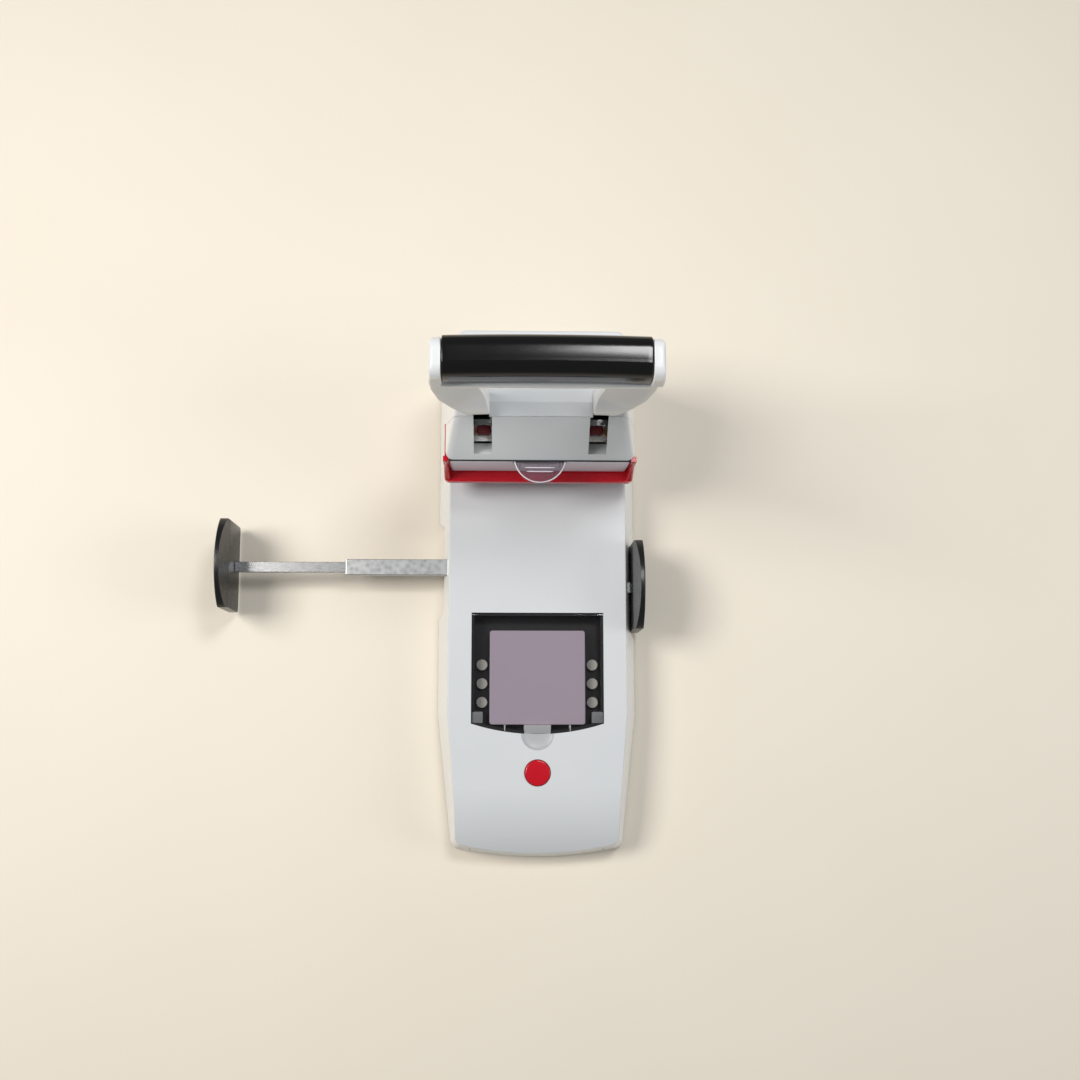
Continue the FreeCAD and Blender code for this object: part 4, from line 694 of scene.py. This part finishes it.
def uprightBlock(xLow, xHigh, yLow, yHigh, zHigh, radius):
    # stands on the tray's floor; its sides come in over a small round below the top
    loop = roundedLoop(rectangle(xLow, xHigh, yLow, yHigh), radius, steps=6)
    soft = min(radius, tray["topRound"])
    ease = soft * tray["topEase"]
    z = np.array([trayFloor, zHigh - soft, zHigh - ease, zHigh])
    inset = np.array([0.0, 0.0, ease, soft])
    size = np.array([xHigh - xLow, yHigh - yLow])
    return placeRings(drawnIn(loop, inset, loop.mean(0), size), 2, z)


makePiece("trayRibs", [
    uprightBlock(x - tray["ribHalf"], x + tray["ribHalf"], tray["ribFront"], tray["rear"], tray["ribTop"],
                 tray["ribRound"]) for x in (-tray["ribX"], tray["ribX"])], "disc_white", "base")
makePiece("lidTongue", [
    uprightBlock(-tray["tongueHalf"], tray["tongueHalf"], tray["tongueFront"], tray["rear"],
                 lidUnder - tray["lidGap"], tray["tongueRound"])], "shell_grey", "base")
nearX, farX = tray["ledgeX"]
# the ledge blocks' darker finish is painted shade
makePiece("trayBlocks", [
    uprightBlock(*span, *tray["ledgeY"], tray["ledgeTop"], tray["ledgeRound"])
    for span in ((-farX, -nearX), (nearX, farX))], "shell_grey", "base", finish=pieceFinishes["ledges"])
print("tray fittings made")


# What shows in the slots beside the arms: a sloping floor in front and an oblong cap on each punch

slots = {
    "floorX": (33.5, 47.6), "floorY": (-19.9, -9.7), "floorZ": (103.0, 99.0), "floorThick": 1.2,
    "floorRound": 0.3, "capX": 40.0, "capHalf": 5.0, "capY": (-4.4, 1.6), "capRound": 2.2, "capEdge": 0.9,
}


def slotFloor(sign):
    # a flat strip: its outline in y and z is carried along x
    yFront, yRear = slots["floorY"]
    zFront, zRear = slots["floorZ"]
    thick = slots["floorThick"]
    corners = [[yFront, zFront - thick], [yRear, zRear - thick], [yRear, zRear], [yFront, zFront]]
    loops = np.repeat(roundedLoop(corners, slots["floorRound"], steps=4)[None], 2, 0)
    return placeRings(loops, 0, np.array(slots["floorX"]) * sign)


def punchCap(sign, zLow, zHigh):
    # rounded oblongs stacked upwards and drawn in over a round edge at the top
    yFront, yRear = slots["capY"]
    half = slots["capHalf"]
    loop = roundedLoop(rectangle(-half, half, yFront, yRear), slots["capRound"], steps=8)
    below, inset = quarterRound(slots["capEdge"], steps=6)
    loops = drawnIn(loop, np.r_[0.0, inset], loop.mean(0), np.array([2.0 * half, yRear - yFront]))
    loops[..., 0] += sign * slots["capX"]
    return placeRings(loops, 2, np.r_[zLow, zHigh - below])


makePiece("slotFloors", [slotFloor(1.0), slotFloor(-1.0)], "shell_grey", "base")
capLow, capHigh = boxMm("punch_cap_left")
# the caps' dark red finish is painted shade
makePiece("punchCaps", [punchCap(sign, capLow[2], capHigh[2]) for sign in (1.0, -1.0)], "red_plastic",
          "carriage", ["punch_cap_left", "punch_cap_right"], finish=pieceFinishes["caps"])
print("slots fitted out")


# Camera, light and floor

view = {"location": (-0.0255, -0.2195, 1.0248), "forward": (0.0273, 0.1495, -0.9884), "lensMm": 44.17,
        "sensorMm": 36.0, "clipStart": 0.01}
forward = Vector(view["forward"]).normalized()
right = forward.cross(Vector((0.0, 1.0, 0.0))).normalized()
turn = Matrix((right, right.cross(forward), -forward)).transposed().to_4x4()
camera = bpy.data.objects.new("camera", bpy.data.cameras.new("camera"))
camera.data.lens = view["lensMm"]
camera.data.sensor_width = view["sensorMm"]
camera.data.clip_start = view["clipStart"]
camera.matrix_world = Matrix.Translation(view["location"]) @ turn
bpy.context.scene.collection.objects.link(camera)
bpy.context.scene.camera = camera

lampTarget = Vector((0.0, -0.08, 0.08))
lamps = {
    "keyLeft": {"location": (-0.95, 0.1, 1.3), "size": 0.6, "watts": 17.0, "colour": "#fffaf4"},
    "softboxRear": {"location": (0.25, 0.36, 1.25), "size": 0.28, "watts": 4.8, "colour": "#ffffff"},
    "fillRight": {"location": (1.6, -0.2, 0.95), "size": 0.8, "watts": 8.0, "colour": "#ffffff"},
}
for name, values in lamps.items():
    light = bpy.data.lights.new(name, "AREA")
    light.size = values["size"]
    light.energy = values["watts"]
    light.color = linear(values["colour"])[:3]
    lamp = bpy.data.objects.new(name, light)
    turn = (lampTarget - Vector(values["location"])).to_track_quat("-Z", "Y").to_matrix().to_4x4()
    lamp.matrix_world = Matrix.Translation(values["location"]) @ turn
    bpy.context.scene.collection.objects.link(lamp)

room = {"colour": "#f4f6f8", "strength": 0.24}
world = bpy.data.worlds.new("paleRoom")
bpy.context.scene.world = world
world.use_nodes = True
world.node_tree.nodes["Background"].inputs["Color"].default_value = linear(room["colour"])
world.node_tree.nodes["Background"].inputs["Strength"].default_value = room["strength"]

table = {"reach": 15.0, "colour": "#ebe4d6", "shade": "#e7dfd0", "roughness": 0.6, "cloudsPerMetre": 6.0}
corners = rectangle(-table["reach"], table["reach"], -table["reach"], table["reach"])
floorMesh = bpy.data.meshes.new("floor")
floorMesh.from_pydata(np.c_[corners, np.zeros(4)].tolist(), [], [(0, 1, 2, 3)])
floor = bpy.data.objects.new("floor", floorMesh)
bpy.context.scene.collection.objects.link(floor)
floorLook, floorShader, floorPlace = startMaterial("paleTable", Roughness=table["roughness"])
clouds = noise(floorLook, floorPlace, 1000.0 / table["cloudsPerMetre"], detail=2.0)
joinTo(floorLook, twoTones(floorLook, table["shade"], table["colour"], clouds), floorShader, "Base Color")
floorMesh.materials.append(floorLook)
bpy.context.scene.view_settings.view_transform = "Standard"
print("camera, light and floor set")
